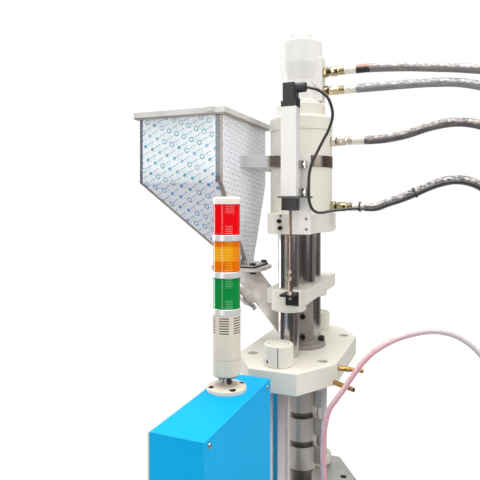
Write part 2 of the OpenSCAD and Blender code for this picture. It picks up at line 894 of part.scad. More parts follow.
// Cover disc with a domed middle, a lug at its lower end and the lug's screw
module cleanout_cover() {
    disc_d = cleanout_d + 8;
    color("silver")
    at_head()
    along_branch()
    translate([0, 0, cleanout_at])
    along_x()
    translate([0, 0, cleanout_out]) {
        cylinder(d = disc_d, h = 4);
        translate([0, 0, 4 - over]) rotate_extrude() polygon([
            [0, 0], [cleanout_d / 2 - 2, 0], [cleanout_d / 2 - 3, 5], [cleanout_d / 2 - 8, 9],
            [cleanout_d / 2 - 16, 11], [0, 12]
        ]);
        translate([disc_d / 2 - 4, -7, 0]) cube([15, 14, 4]);
        translate([disc_d / 2 + 4, 0, -5.2]) hexagon(11, 5.2 + over);
    }
}

module outlet_gasket() {
    color("black")
    at_head()
    difference() {
        translate([OUTLET[0], OUTLET[1], outlet_h])
            linear_extrude(height = gasket_t) cut_corners(outlet_l - 30, outlet_w - 2, 2);
        translate([OUTLET[0], OUTLET[1], outlet_h]) hole(branch_bore_d, gasket_t);
        for (p = OUTLET_BOLTS)
            translate([p[0], p[1], outlet_h]) hole(8 + 2 * fit, gasket_t);
    }
}

// Hopper: foot plate, square neck, lopsided taper, straight box and turned-out rim.
// Its +X side is one flat vertical face.
hopper_foot = outlet_h + gasket_t;
neck_low = hopper_foot + hopper_foot_t;
cone_low = neck_low + neck_h;
box_low = cone_low + hopper_cone_h;
hopper_top = box_low + hopper_box_h;
hopper_x = OUTLET[0] + neck_s / 2 - 4;
neck_y = OUTLET[1];
hopper_y = OUTLET[1] - 28;

module taper(x, y0, y1, l0, w0, l1, w1, z0, z1) {
    polyhedron(
        points = [
            [x - l0, y0 - w0 / 2, z0], [x, y0 - w0 / 2, z0], [x, y0 + w0 / 2, z0], [x - l0, y0 + w0 / 2, z0],
            [x - l1, y1 - w1 / 2, z1], [x, y1 - w1 / 2, z1], [x, y1 + w1 / 2, z1], [x - l1, y1 + w1 / 2, z1]
        ],
        faces = [
            [0, 1, 2, 3], [7, 6, 5, 4], [4, 5, 1, 0], [5, 6, 2, 1], [6, 7, 3, 2], [7, 4, 0, 3]
        ]
    );
}

module hopper_form(t) {
    x = hopper_x - t;
    taper(x, neck_y, hopper_y, neck_s - 2 * t, neck_s - 2 * t, hopper_l - 2 * t, hopper_w - 2 * t,
        cone_low, box_low);
    box(x - hopper_l + 2 * t, x, hopper_y - hopper_w / 2 + t, hopper_y + hopper_w / 2 - t,
        box_low, hopper_top + (t > 0 ? over : 0));
    box(x - neck_s + 2 * t, x, neck_y - neck_s / 2 + t, neck_y + neck_s / 2 - t,
        neck_low - (t > 0 ? 2 * hopper_foot_t : 0), cone_low);
}

hinge_y = hopper_y + hopper_w / 2 + rim_w + 7;
hinge_z = hopper_top;
hinge_d = 10;
hinge_pin_d = 5;
KNUCKLES = [hopper_x - hopper_l / 2 - 60, hopper_x - hopper_l / 2 + 40];

module hopper() {
    rim_t = 3;
    color("whitesmoke")
    at_head()
    difference() {
        union() {
            hopper_form(0);
            translate([OUTLET[0], OUTLET[1], hopper_foot])
                linear_extrude(height = hopper_foot_t) cut_corners(outlet_l - 24, outlet_w - 6, 2);
            box(hopper_x - hopper_l - rim_w, hopper_x + rim_w, hopper_y - hopper_w / 2 - rim_w,
                hopper_y + hopper_w / 2 + rim_w, hopper_top - rim_t, hopper_top);
            for (x = KNUCKLES) {
                translate([x, hinge_y, hinge_z]) along_x() cylinder(d = hinge_d, h = 20);
                box(x, x + 20, hinge_y - 9, hinge_y, hinge_z - hinge_d / 2, hinge_z - 0.5);
                translate([x + 19, hinge_y, hinge_z]) along_x() cylinder(d = hinge_pin_d, h = 22);
            }
        }
        hopper_form(hopper_wall);
        for (p = OUTLET_BOLTS)
            translate([p[0], p[1], hopper_foot]) hole(8 + 2 * fit, hopper_foot_t);
    }
}

// Lid with a skirt all round, two hinge knuckles, and a catch on its front edge
module hopper_lid() {
    x0 = hopper_x - hopper_l - rim_w - 1;
    x1 = hopper_x + rim_w + 1;
    y0 = hopper_y - hopper_w / 2 - rim_w - 1;
    y1 = hopper_y + hopper_w / 2 + rim_w + 1;
    z0 = hopper_top + free;
    color("whitesmoke")
    at_head()
    difference() {
        union() {
            box(x0, x1, y0, y1, z0, hopper_top + lid_h);
            for (x = KNUCKLES) {
                translate([x + 20 + free, hinge_y, hinge_z]) along_x() cylinder(d = hinge_d, h = 20);
                box(x + 20 + free, x + 40 + free, y1 - over, hinge_y, hinge_z + 1, hinge_z + hinge_d / 2);
            }
            box(x1 - 40, x1 - 24, y0 - 6, y0 + over, z0 + 3, hopper_top + lid_h);
        }
        box(x0 + lid_wall, x1 - lid_wall, y0 + lid_wall, y1 - lid_wall, z0 - over,
            hopper_top + lid_h - lid_wall);
        for (x = KNUCKLES)
            translate([x + 19, hinge_y, hinge_z]) along_x() cylinder(d = hinge_pin_d + 2 * run, h = 24);
    }
}

// Band round the injection cylinder, with two arms and a plate that hold the hopper
strap_low = 414;
strap_h = 26;
module hopper_strap() {
    band_t = 1.5;
    arm_bar = 5;
    spread = 28;
    r = cyl_d / 2;
    x0 = hopper_x + free;
    reach = norm([x0 + arm_bar, spread]);
    color("silver")
    at_head()
    difference() {
        union() {
            translate([0, 0, strap_low]) cylinder(r = r + band_t, h = strap_h);
            for (s = [-1, 1])
                translate([x0 + arm_bar, s * (r + spread), strap_low])
                    rotate([0, 0, s * atan2(-spread, -x0 - arm_bar)])
                    translate([-3, s > 0 ? -arm_bar : 0, 0]) cube([reach + 3, arm_bar, strap_h]);
            box(x0, x0 + arm_bar, -r - spread - 3, r + spread + 3, strap_low, strap_low + strap_h);
        }
        translate([0, 0, strap_low]) hole(cyl_d, strap_h);
    }
}

// Clamp flange under the injection cylinder: three round lobes in one outline, with a lug for the sensor
carrier_x = sensor_x + 15;
carrier_y = sensor_y - sensor_deep / 2 - 10;
FLANGE_SCREWS = [300 - flange_low, 279 - flange_low];
front_flat = 3.5;
FRONT_SCREWS = [[-7, 27.5], [-5, 13]];
module flange_outline() {
    hull() {
        translate([0, -guide_y]) circle(d = ear_front_d);
        circle(d = cyl_d);
        translate([0, guide_y]) circle(d = ear_rear_d);
    }
}

module cylinder_flange() {
    flat_y = -guide_y - ear_front_d / 2 + front_flat;
    pad_x0 = carrier_x - carrier_w / 2;
    color("beige")
    at_head()
    translate([0, 0, flange_low])
    difference() {
        union() {
            linear_extrude(height = flange_t) flange_outline();
            box(pad_x0 + 1, pad_x0 + carrier_w - 2, -carrier_y + carrier_t, -guide_y, 1, flange_t - 1);
        }
        for (y = GUIDES)
            translate([0, y, 0]) hole(guide_d + 2 * fit, flange_t);
        hole(rod_d + 2 * run, flange_t);
        box(-60, pad_x0 + 0.9, flat_y - 60, flat_y, -over, flange_t + over);
        for (s = FRONT_SCREWS)
            translate([s[0], flat_y + 14, s[1]]) rotate([90, 0, 0]) cylinder(d = 6 + 2 * fit, h = 30);
    }
}

module cylinder_body() {
    color("beige")
    at_head()
    translate([0, 0, flange_top])
    difference() {
        cylinder(d = cyl_d, h = cyl_len);
        hole(cyl_bore_d, cyl_len);
        for (z = [port_low_z, port_top_z])
            translate([cyl_d / 2 - 10 - fit, 0, z]) along_x() cylinder(d = stub_d + 2 * fit, h = cyl_d);
    }
}

module cylinder_cap() {
    r = cyl_d / 2 + 1;
    f = 6;
    color("beige")
    at_head()
    translate([0, 0, cyl_top])
    difference() {
        rotate_extrude() polygon(concat(
            [[0, 0], [r, 0]],
            [for (a = [0 : 15 : 90]) [r - f + f * cos(a), cap_h - f + f * sin(a)]],
            [[mount_d / 2, cap_h], [mount_d / 2, cap_h + mount_h - 2], [mount_d / 2 - 2, cap_h + mount_h]],
            [[0, cap_h + mount_h]]
        ));
        hole(shaft_d + 2 * run, cap_h + mount_h);
    }
}

// Hydraulic motor: neck, taper in two steps, drum, and the bolt heads on top.
// The port block stands on a web, and a wedge joins it to the taper.
motor_bore_h = 80;
motor_bolts = 7;
motor_bolt_turn = 3;
module hydraulic_motor() {
    n = motor_neck_d / 2;
    d = motor_drum_d / 2;
    z1 = motor_neck_h;
    z2 = z1 + motor_taper_h;
    z3 = z2 + motor_drum_h;
    f = 4;
    half_block = port_block_w / 2;
    color("ivory")
    at_head()
    translate([0, 0, motor_foot])
    difference() {
        union() {
            rotate_extrude() polygon(concat(
                [[0, 0], [n + 7, 0], [n + 7, 6], [n, 9], [n, z1], [d - 2.5, z2 - 14], [d, z2]],
                [for (a = [0 : 15 : 90]) [d - f + f * cos(a), z3 - f + f * sin(a)]],
                [[0, z3]]
            ));
            box(0, port_reach, -half_block, half_block, 6, 6 + port_block_h);
            hull() {
                box(port_reach - 4, port_reach, -half_block, half_block, port_low, 6 + port_block_h);
                box(0, 6, -n + 1, n - 1, z2 - 24, z2 - 8);
            }
            for (k = [0 : motor_bolts - 1]) {
                p = polar(d - 8.5, motor_bolt_turn + 360 / motor_bolts * k);
                translate([p[0], p[1], z3 - over]) hexagon(12, 8 + over);
            }
        }
        translate([0, 0, -over]) cylinder(d = shaft_d + 2 * run, h = motor_bore_h + over);
        for (z = [port_low, port_low + port_pitch])
            translate([port_reach - 10 - fit, 0, z]) along_x() cylinder(d = stub_d + 2 * fit, h = 20);
    }
}

// Drive shaft from the motor down into the hollow piston rod
shaft_low = 320;
module drive_shaft() {
    color("gainsboro")
    at_head()
    translate([0, 0, shaft_low]) bar(shaft_d, motor_foot + motor_bore_h - 5 - shaft_low, 1);
}

// Piston rod: journal in the crosshead, rod, piston, and the bore for the drive shaft
arm_low = crosshead_low + boss_h - arm_t;
arm_top = crosshead_low + boss_h;
journal_d = rod_d - 16;
piston_low = flange_top + 2;
module piston_rod() {
    top = piston_low + piston_h;
    bore_low = shaft_low - inject_travel - 10;
    color("gainsboro")
    at_head()
    difference() {
        union() {
            translate([0, 0, arm_low - free]) cylinder(d = journal_d, h = arm_t + 2 * free + over);
            translate([0, 0, arm_top + free]) cylinder(d = rod_d, h = top - arm_top - free);
            translate([0, 0, piston_low]) cylinder(d = cyl_bore_d - 2 * run, h = piston_h);
        }
        translate([0, 0, bore_low]) cylinder(d = shaft_d + 2 * run, h = top - bore_low + over);
    }
}

// Screw: collar under the crosshead, plain shank, then the flight as one twisted form
collar_h = 8.5;
barrel_low = fixed_top + barrel_end_gap - head_top;
module feed_screw() {
    z1 = arm_low - free;
    shank_low = -12;
    root = 0.33 * screw_d;
    flight_l = shank_low - barrel_low - 8;
    color("gainsboro")
    at_head() {
        translate([0, 0, z1 - collar_h]) cylinder(d = journal_d + 8, h = collar_h);
        translate([0, 0, shank_low]) cylinder(d = screw_d, h = z1 - collar_h - shank_low);
        translate([0, 0, shank_low - flight_l])
            linear_extrude(
                height = flight_l, twist = -360 * flight_l / screw_pitch,
                slices = 12 * round(flight_l / screw_pitch), $fn = 16
            )
            translate([screw_d / 2 - root - free, 0]) circle(r = root);
    }
}

module barrel() {
    color("gray")
    at_head()
    translate([0, 0, barrel_low])
    difference() {
        cylinder(d = barrel_d, h = -barrel_low);
        hole(screw_d + 2 * run, -barrel_low);
    }
}

module nozzle() {
    r = barrel_d / 2 - 3;
    color("gray")
    at_head()
    translate([0, 0, barrel_low - nozzle_len])
    difference() {
        rotate_extrude() polygon([
            [0, 0], [7, 0], [9, 4], [12, 22], [12, nozzle_len - 34], [r, nozzle_len - 24],
            [r, nozzle_len], [0, nozzle_len]
        ]);
        hole(4, nozzle_len);
        translate([0, 0, nozzle_len - 20]) cylinder(d = screw_d - 8, h = 20 + over);
    }
}

module heater_bands() {
    d = barrel_d + 2 * band_wall;
    color("silver")
    at_head()
    for (k = [0 : 2])
        translate([0, 0, barrel_low + 12 + k * (band_h + band_gap)])
        difference() {
            union() {
                cylinder(d = d, h = band_h);
                box(d / 2 - 3, d / 2 + 14, -6, 6, band_h / 2 - 18, band_h / 2 + 18);
            }
            hole(barrel_d + 2 * fit, band_h);
        }
}

// Crosshead: arm between two bosses on the guide rods, with a flat pad for the bracket
pad_y = sensor_y - 37;
pad_w = 30;
module crosshead() {
    front_y = -guide_y - 19;
    rear_y = guide_y + 90;
    color("beige")
    at_head()
    difference() {
        union() {
            for (y = GUIDES)
                translate([0, y, crosshead_low]) bar(boss_d, boss_h, 2);
            box(-arm_w / 2, arm_w / 2, front_y, rear_y - 10, arm_low, arm_top);
            box(-arm_w / 2 + 10, arm_w / 2 - 10, guide_y, rear_y, arm_low, arm_top);
            for (s = [-1, 1])
                translate([s * (arm_w / 2 - 10), rear_y - 10, arm_low]) cylinder(r = 10, h = arm_t);
            box(sensor_x - 21, sensor_x + 7, -pad_y, -guide_y, crosshead_low + 6, arm_top - 2);
        }
        for (y = GUIDES)
            translate([0, y, crosshead_low]) hole(guide_d + 2 * run, boss_h);
        translate([0, 0, arm_low]) hole(journal_d + 2 * run, arm_t);
    }
}

// Angle bracket on the pad: upright leg with two screws, and a level leg for the rod end
leg_t = 4;
bracket_top = arm_top;
module rod_bracket() {
    y1 = -pad_y;
    x0 = sensor_x - 21;
    x1 = sensor_x + 7;
    color("dimgray")
    at_head()
    difference() {
        union() {
            box(x0, x1, y1 - leg_t, y1, bracket_top - 29, bracket_top);
            box(x0, x1, -sensor_y - 9, y1, bracket_top - leg_t, bracket_top);
            for (x = [x0 + 7, x0 + 20])
                translate([x, y1 - leg_t + over, bracket_top - 16]) rotate([90, 0, 0]) hexagon(8, 4 + over);
        }
        translate([sensor_x, -sensor_y, bracket_top - leg_t]) hole(sensor_rod_d + 2 * fit, leg_t);
    }
}

// Sensor rod with the lock nut, sleeve and ball joint of its lower end
sensor_bottom = sensor_z - cap_low_h;
module sensor_rod() {
    top = sensor_z + 30;
    color("gainsboro")
    at_head()
    translate([sensor_x, -sensor_y, 0]) {
        translate([0, 0, bracket_top - 10]) cylinder(d = sensor_rod_d, h = top - bracket_top + 10);
        translate([0, 0, bracket_top]) {
            hexagon(12, 7);
            translate([0, 0, 6]) cylinder(d = 8, h = 8);
            translate([0, 0, 12]) cylinder(d = 11, h = 18);
            translate([0, 0, 29]) hexagon(13, 8);
            translate([0, 0, 36]) cylinder(d = 8, h = 8);
            translate([0, 0, 43]) hexagon(11, 7);
        }
    }
}

module sensor_plan(w, l) {
    translate([-w / 2, -l / 2]) square([w, l]);
}

// Aluminium housing with a groove in each side, hollow for the rod
module sensor_housing() {
    color("whitesmoke")
    at_head()
    translate([sensor_x, -sensor_y, sensor_z])
    difference() {
        linear_extrude(height = sensor_len)
        difference() {
            sensor_plan(sensor_w, sensor_deep);
            for (s = [-1, 1])
                translate([s * sensor_w / 2, sensor_deep / 4 - 1]) sensor_plan(4, 5);
        }
        translate([0, 0, -over]) cylinder(d = sensor_rod_d + 4, h = sensor_len - 8 + over);
    }
}

module sensor_caps() {
    color("dimgray")
    at_head()
    translate([sensor_x, -sensor_y, 0]) {
        translate([0, 0, sensor_bottom])
        difference() {
            linear_extrude(height = cap_low_h) sensor_plan(sensor_w - 2, sensor_deep - 2);
            hole(sensor_rod_d + 2 * run, cap_low_h);
        }
        translate([0, 0, sensor_z + sensor_len])
            linear_extrude(height = cap_top_h) sensor_plan(sensor_w, sensor_deep - 1);
    }
}

// Square plug on the upper cap, with a round cable outlet and a latch on its +X side
module sensor_connector() {
    s = plug_s;
    latch_x = sensor_x + sensor_w / 2 + free - plug_x;
    color("dimgray")
    at_head()
    translate([plug_x, -sensor_y, plug_z])
    difference() {
        union() {
            box(-s / 2, s / 2, -s / 2, s / 2, 0, plug_h);
            translate([s / 2 - over, 0, outlet_z]) along_x() bar(20, 23, 1.5);
            box(s / 2 - over, s / 2 + 4, -8, 8, 0, plug_h - 14);
            box(s / 2 - over, latch_x + 2.5, -5, 5, 3, 6);
            box(latch_x, latch_x + 2.5, -5, 5, -12, 4);
        }
        translate([s / 2 + 12, 0, outlet_z]) along_x() cylinder(d = cable_d + 0.6, h = 12);
    }
}

// White carrier plate, and the two clamps that hold the sensor on it
carrier_low = flange_low + 1;
CLAMP_Z = [355, 412];
module carrier_plate() {
    color("whitesmoke")
    at_head()
    difference() {
        box(carrier_x - carrier_w / 2, carrier_x + carrier_w / 2, -carrier_y, -carrier_y + carrier_t,
            carrier_low, carrier_low + carrier_h);
        for (z = FLANGE_SCREWS)
            translate([carrier_x + 11, -carrier_y - over, flange_low + z])
                along_y() cylinder(d = 4 + 2 * fit, h = carrier_t + 2 * over);
    }
}

module sensor_clamps() {
    side_x = sensor_x + sensor_w / 2;
    back_y = -sensor_y + sensor_deep / 2;
    clamp_h = 16;
    color("silver")
    at_head()
    for (z = CLAMP_Z)
        translate([side_x, back_y, z - clamp_h / 2]) {
            box(-sensor_w / 2 - 8, carrier_x + carrier_w / 2 - 8 - side_x, 0, -carrier_y - back_y,
                0, clamp_h);
            box(free, 5, -10, over, 0, clamp_h);
            translate([9, over, clamp_h / 2]) rotate([90, 0, 0]) hexagon(7, 4 + over);
        }
}

// Cable, cable ties and gland

module sensor_cable() {
    color("dimgray") tube(CABLE, cable_d, 8);
}

// A tie is a band round a hose and the cable that runs beside it
tie_w = 4;
tie_wall = 1.2;
tie_gap = 0.7;
module tie_loop(d, side) {
    hose_r = d / 2 + tie_gap;
    cable_r = cable_d / 2 + tie_gap;
    difference() {
        union() {
            cylinder(r = hose_r + tie_wall, h = tie_w);
            translate(side) cylinder(r = cable_r + tie_wall, h = tie_w);
        }
        hole(2 * hose_r, tie_w);
        translate(side) hole(2 * cable_r, tie_w);
    }
}
module tie_band(i) {
    t = heading(HOSES[3], i);
    y = square_to([0, 1, 0], t);
    on_route(HOSES[3], i) tie_loop(hose_d, [CABLE_SIDE * cross(y, t), CABLE_SIDE * y, 0]);
}

// Tie round the fourth hose's ferrule
module ferrule_tie() {
    at_head()
    translate([port_x[3] + fitting_l - 12, 0, port_z[3]]) along_x() tie_loop(19, [4.05, -14, 0]);
}

// Flat strap round the sensor's lower end, its carrier plate and the cable
module sensor_tie() {
    x0 = sensor_x - sensor_w / 2 - free;
    x1 = carrier_x + carrier_w / 2 + 2;
    tail = 8;
    y0 = -sensor_y - sensor_deep / 2 - free;
    y1 = -carrier_y + carrier_t + free;
    z0 = sensor_z + 0.5;
    at_head()
    difference() {
        union() {
            box(x0 - tie_wall, x1 + tie_wall, y0 - tie_wall, y1 + tie_wall, z0, z0 + tie_w - over);
            box(x0 - tail, x0, y0 + 6, y0 + 6 + tie_wall, z0, z0 + tie_w - over);
        }
        box(x0, x1, y0, y1, z0 - over, z0 + tie_w);
    }
}

module cable_ties() {
    color("dimgray") {
        for (i = [4, 18, 23]) tie_band(i);
        ferrule_tie();
        sensor_tie();
    }
}

module cable_gland() {
    color("dimgray")
    translate([GLAND[0], GLAND[1], deck_z])
    difference() {
        union() {
            hexagon(24, 8);
            translate([0, 0, 7]) bar(18, 21, 3);
        }
        translate([0, 0, 8]) cylinder(d = cable_d + 0.6, h = 21);
    }
}

// Hydraulic hoses and their end fittings

// Fitting that points along +Z from its seat: adapter, nut, collar and ferrule, with the thread below
module fitting() {
    translate([0, 0, -10]) cylinder(d = stub_d, h = 10 + over);
    hexagon(22, 11);
    translate([0, 0, 10]) cylinder(d = 11, h = 6);
    translate([0, 0, 14]) hexagon(19, 20);
    translate([0, 0, 33]) cylinder(d = 15, h = 4);
    translate([0, 0, 36]) hexagon(19.5, 14);
    translate([0, 0, 49]) bar(19, fitting_l - 49, 1);
}

module hose_fittings() {
    color("goldenrod") {
        at_head()
        for (k = [0 : 3])
            translate([port_x[k], 0, port_z[k]]) along_x() fitting();
        for (p = MANIFOLD_PORTS)
            translate([p[0], p[1], deck_z + manifold_h]) fitting();
    }
}

module hydraulic_hose_1() {
    color("dimgray") tube(HOSES[0], hose_d, 10);
}

module hydraulic_hose_2() {
    color("dimgray") tube(HOSES[1], hose_d, 10);
}

module hydraulic_hose_3() {
    color("dimgray") tube(HOSES[2], hose_d, 10);
}

module hydraulic_hose_4() {
    color("dimgray") tube(HOSES[3], hose_d, 10);
}

module valve_manifold() {
    valve_pitch = manifold_l * 0.32;
    color("slategray")
    difference() {
        union() {
            translate([manifold_x - manifold_l / 2, -manifold_w / 2, deck_z])
                cube([manifold_l, manifold_w, manifold_h]);
            for (k = [-1 : 1])
                translate([manifold_x + valve_pitch * k, manifold_w / 2 - over, deck_z + manifold_h / 2])
                    along_y() bar(46, 90, 3);
        }
        for (p = MANIFOLD_PORTS)
            translate([p[0], p[1], deck_z + manifold_h - 11]) cylinder(d = stub_d + 2 * fit, h = 20);
    }
}

// Brass water fittings: two hose tails on the head platen, and the two ends of the water hose
// Each port has its place on the platen's side, its height below the top and its direction
WATER_PORTS = [[half_w, -100, -14.5, 0], [half_w - 3.1, -platen_side_l / 2 - 5, -38.5, side_turn]];
module hose_tail(l) {
    translate([0, 0, -9]) cylinder(d = 6, h = 10);
    cylinder(d = 11, h = l / 2);
    translate([0, 0, l / 2 - over]) cylinder(d = 8, h = l / 2 + over);
    for (k = [0 : 2])
        translate([0, 0, l / 2 + 3 + l / 6 * k]) cylinder(d = 9.5, h = 3);
}

module water_fittings() {
    color("darkgoldenrod") {
        at_head()
        for (f = WATER_PORTS)
            translate([f[0], f[1], f[2]]) rotate([0, 0, f[3]]) along_x() hose_tail(52);
        translate([WATER_TAIL[0], WATER_TAIL[1], deck_z]) hose_tail(tail_l);
        translate([ELBOW[0], ELBOW[1], elbow_z]) hose_tail(tail_l);
        translate([side_mid[0], side_mid[1], elbow_z])
            rotate([0, 0, side_turn]) along_x() {
                translate([0, 0, -9]) cylinder(d = 6, h = elbow_out);
                cylinder(d = 11, h = elbow_out);
                translate([0, 0, elbow_out]) sphere(d = 14);
            }
    }
}

module water_hose() {
    color("palevioletred") tube(WATER, water_d, 10);
}

// Black screws: feed flange, body plugs, outlet bolts, front clamp screws and the split nuts' set screws
module black_screws() {
    flat_y = -guide_y - ear_front_d / 2 + front_flat;
    color("black")
    at_head() {
        for (p = FEED_SCREWS)
            translate([p[0], p[1], feed_flange_t]) socket_screw(feed_screw_size, feed_flange_t + 10);
        for (z = PLUG_Z)
            rotate([0, 0, plug_turn])
                translate([feed_body_d / 2, 0, z]) along_x() socket_screw(8, 5);
        for (p = OUTLET_BOLTS)
            translate([p[0], p[1], hopper_foot + hopper_foot_t]) {
                hex_screw(8, hopper_foot_t + gasket_t + outlet_t);
                translate([0, 0, -hopper_foot_t - gasket_t - outlet_t - 6]) hexagon(13, 6);
            }
        for (s = FRONT_SCREWS)
            translate([s[0], flat_y, flange_low + s[1]]) rotate([90, 0, 0]) socket_screw(6, 12);
        for (p = BASE_HOLES)
            translate([tower_x + p[0], p[1] - tower_y, 0]) cylinder(d = 8.5, h = 3);
        for (s = [-1, 1])
            translate([0, s * tie_y, set_screw_z])
                rotate([0, 0, set_screw_turn + (s < 0 ? 0 : 180)])
                translate([tie_d / 2 + free, 0, 0]) along_x() cylinder(d = 7.6, h = 4);
    }
}

// Signal tower

pivot_h = 18;
fork_w = 14;
tower_low = 25;
z_body = tower_low + tower_body_h;
z_green = z_body + ring_h;
z_amber = z_green + lens_h + ring_h;
z_red = z_amber + lens_h + ring_h;
z_cap = z_red + lens_h;

module at_tower() {
    translate([tower_x, -tower_y, head_top]) children();
}

// Base disc with a domed middle and a fork for the pivot. The pivot runs from corner to corner.
pivot_turn = -45;
BASE_HOLES = [for (a = [45 : 90 : 315]) polar(tower_disc_d / 2 - 7.5, a)];
module light_base() {
    r = tower_disc_d / 2;
    color("linen")
    at_tower()
    difference() {
        union() {
            rotate_extrude() polygon([
                [0, 0], [r, 0], [r, 3.5], [r - 1.5, 5], [r - 9, 5.6], [20, 8], [14, 11], [0, 12]
            ]);
            for (s = [-1, 1])
                rotate([0, 0, pivot_turn]) translate([s * (fork_w / 2 + 2.5), 0, 0]) {
                    box(-2.5, 2.5, -6, 6, 8, pivot_h);
                    translate([-2.5, 0, pivot_h]) along_x() cylinder(d = 12, h = 5);
                }
        }
        for (p = BASE_HOLES) translate([p[0], p[1], 0]) hole(9, 8);
        rotate([0, 0, pivot_turn])
            translate([-40, 0, pivot_h]) along_x() cylinder(d = 5 + 2 * run, h = 80);
    }
}

// Pivot screw with its black knob
module light_knob() {
    color("dimgray")
    at_tower()
    rotate([0, 0, pivot_turn])
    translate([-fork_w / 2 - 7, 0, pivot_h]) along_x() {
        cylinder(d = 5, h = fork_w + 12);
        translate([0, 0, fork_w + 12 + free]) cylinder(d = 12, h = 8);
        translate([0, 0, fork_w + 11.5]) cylinder(d = 5, h = 2);
    }
}

// Lower body of the tower with its rounded foot, the sounder's slots and the tongue in the fork
module light_body() {
    r = tower_d / 2;
    slot_pitch = 4.35;
    color("linen")
    at_tower()
    difference() {
        union() {
            rotate_extrude() polygon([
                [0, tower_low], [r - 5, tower_low], [r - 2, tower_low + 1.5], [r - 0.5, tower_low + 4],
                [r, tower_low + 7], [r, z_body], [0, z_body]
            ]);
            rotate([0, 0, pivot_turn]) {
                box(-fork_w / 2 + free, fork_w / 2 - free, -5, 5, pivot_h, tower_low + over);
                translate([-fork_w / 2 + free, 0, pivot_h]) along_x() cylinder(d = 10, h = fork_w - 2 * free);
            }
        }
        rotate([0, 0, pivot_turn])
            translate([-fork_w, 0, pivot_h]) along_x() cylinder(d = 5 + 2 * run, h = 2 * fork_w);
        for (a = [-60, 0, 60], k = [1 : 7])
            rotate([0, 0, -77 + a])
                translate([r - 3, -8.5, z_body - 1.5 - slot_pitch * k]) cube([4, 17, 1.8]);
        translate([0, 0, tower_low + 32]) difference() {
            cylinder(r = r + over, h = 1);
            cylinder(r = r - 0.6, h = 1);
        }
    }
}

module tower_ring(z) {
    translate([0, 0, z]) bar(tower_d + 1, ring_h, 1);
}

module light_rings() {
    color("silver")
    at_tower()
    for (z = [z_body, z_green + lens_h, z_amber + lens_h]) tower_ring(z);
}

module lens(z) {
    at_tower() translate([0, 0, z]) cylinder(d = tower_d - 1, h = lens_h);
}

module lens_green() {
    color("green") lens(z_green);
}

module lens_amber() {
    color("orange") lens(z_amber);
}

module lens_red() {
    color("red") lens(z_red);
}

module light_cap() {
    r = tower_d / 2;
    color("linen")
    at_tower()
    translate([0, 0, z_cap]) rotate_extrude() polygon([
        [0, 0], [r, 0], [r, tower_cap_h - 4], [r - 1.5, tower_cap_h - 1.5],
        [r - 5, tower_cap_h], [0, tower_cap_h]
    ]);
}

// Control box on its post, with the panel on the operator side

module control_box() {
    x1 = box_x;
    x0 = x1 - box_w + 3;
    y1 = -box_y;
    y0 = y1 - box_l;
    z1 = head_top;
    z0 = z1 - box_h;
    w = box_wall;
    half_s = box_post_s / 2;
    foot_t = 10;
    color("dodgerblue")
    difference() {
        union() {
            box(x0, x1, y0, y1, z0, z1);
            translate([(x0 + x1) / 2, y1 - box_post_s / 2 - 6, deck_z]) {
                box(-half_s, half_s, -half_s, half_s, foot_t - over, z0 - deck_z + over);
                box(-half_s - 25, half_s + 25, -half_s - 5, half_s + 3, 0, foot_t);
            }
        }
        box(x0 - over, x1 - w, y0 + w, y1 - w, z0 + w, z1 - w);
    }
}

STOP = [-box_y - 60, head_top - 330];
module control_panel() {
    x0 = box_x - box_w;
    y1 = -box_y;
    y0 = y1 - box_l;
    color("gainsboro")
    difference() {
        union() {
            box(x0, x0 + 3, y0, y1, head_top - box_h, head_top);
            box(x0 - 3, x0 + over, y0 + 30, y1 - 30, head_top - 220, head_top - 40);
            for (k = [0 : 3], m = [0 : 2])
                translate([x0 + over, y0 + 50 + 30 * k, head_top - 270 - 30 * m])
                    rotate([0, -90, 0]) cylinder(d = 18, h = 5);
            translate([x0 + over, STOP[0], STOP[1]]) rotate([0, -90, 0]) cylinder(d = 46, h = 7);
        }
        box(x0 - 4, x0 - 1, y0 + 42, y1 - 42, head_top - 208, head_top - 52);
        translate([x0 - 10, STOP[0], STOP[1]]) along_x() cylinder(d = 16 + 2 * run, h = 20);
    }
}

module stop_button() {
    x0 = box_x - box_w;
    color("red")
    translate([x0 - 6 - button_travel - free, STOP[0], STOP[1]]) {
        translate([-12, 0, 0]) along_x() bar(40, 12, 3);
        translate([-over, 0, 0]) along_x() cylinder(d = 16, h = 26);
    }
}

machine_feet();
base_cabinet();
side_panels();
table_plate();
tie_bars();
tie_bar_nuts();
fixed_platen();
moving_platen();
clamp_ram();
clamp_cylinder();
pump_unit();
head_platen();
guide_rods();
feed_housing();
cleanout_cover();
outlet_gasket();
hopper();
hopper_lid();
hopper_strap();
cylinder_flange();
cylinder_body();
cylinder_cap();
hydraulic_motor();
drive_shaft();
piston_rod();
feed_screw();
barrel();
nozzle();
heater_bands();
crosshead();
sensor_housing();
sensor_caps();
sensor_rod();
rod_bracket();
sensor_connector();
carrier_plate();
sensor_clamps();
sensor_cable();
cable_ties();
cable_gland();
hose_fittings();
hydraulic_hose_1();
hydraulic_hose_2();
hydraulic_hose_3();
hydraulic_hose_4();
valve_manifold();
water_fittings();
water_hose();
black_screws();
light_base();
light_knob();
light_body();
light_rings();
lens_green();
lens_amber();
lens_red();
light_cap();
control_box();
control_panel();
stop_button();
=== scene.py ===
"""Looks of the vertical injection moulding machine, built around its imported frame.

Lengths are metres, and angles are degrees unless a name says otherwise.
"""
import logging
import math
from dataclasses import dataclass, field, replace
from enum import Enum, IntEnum
from typing import Optional, Sequence, Union

import bmesh
import bpy
from mathutils import Matrix, Vector


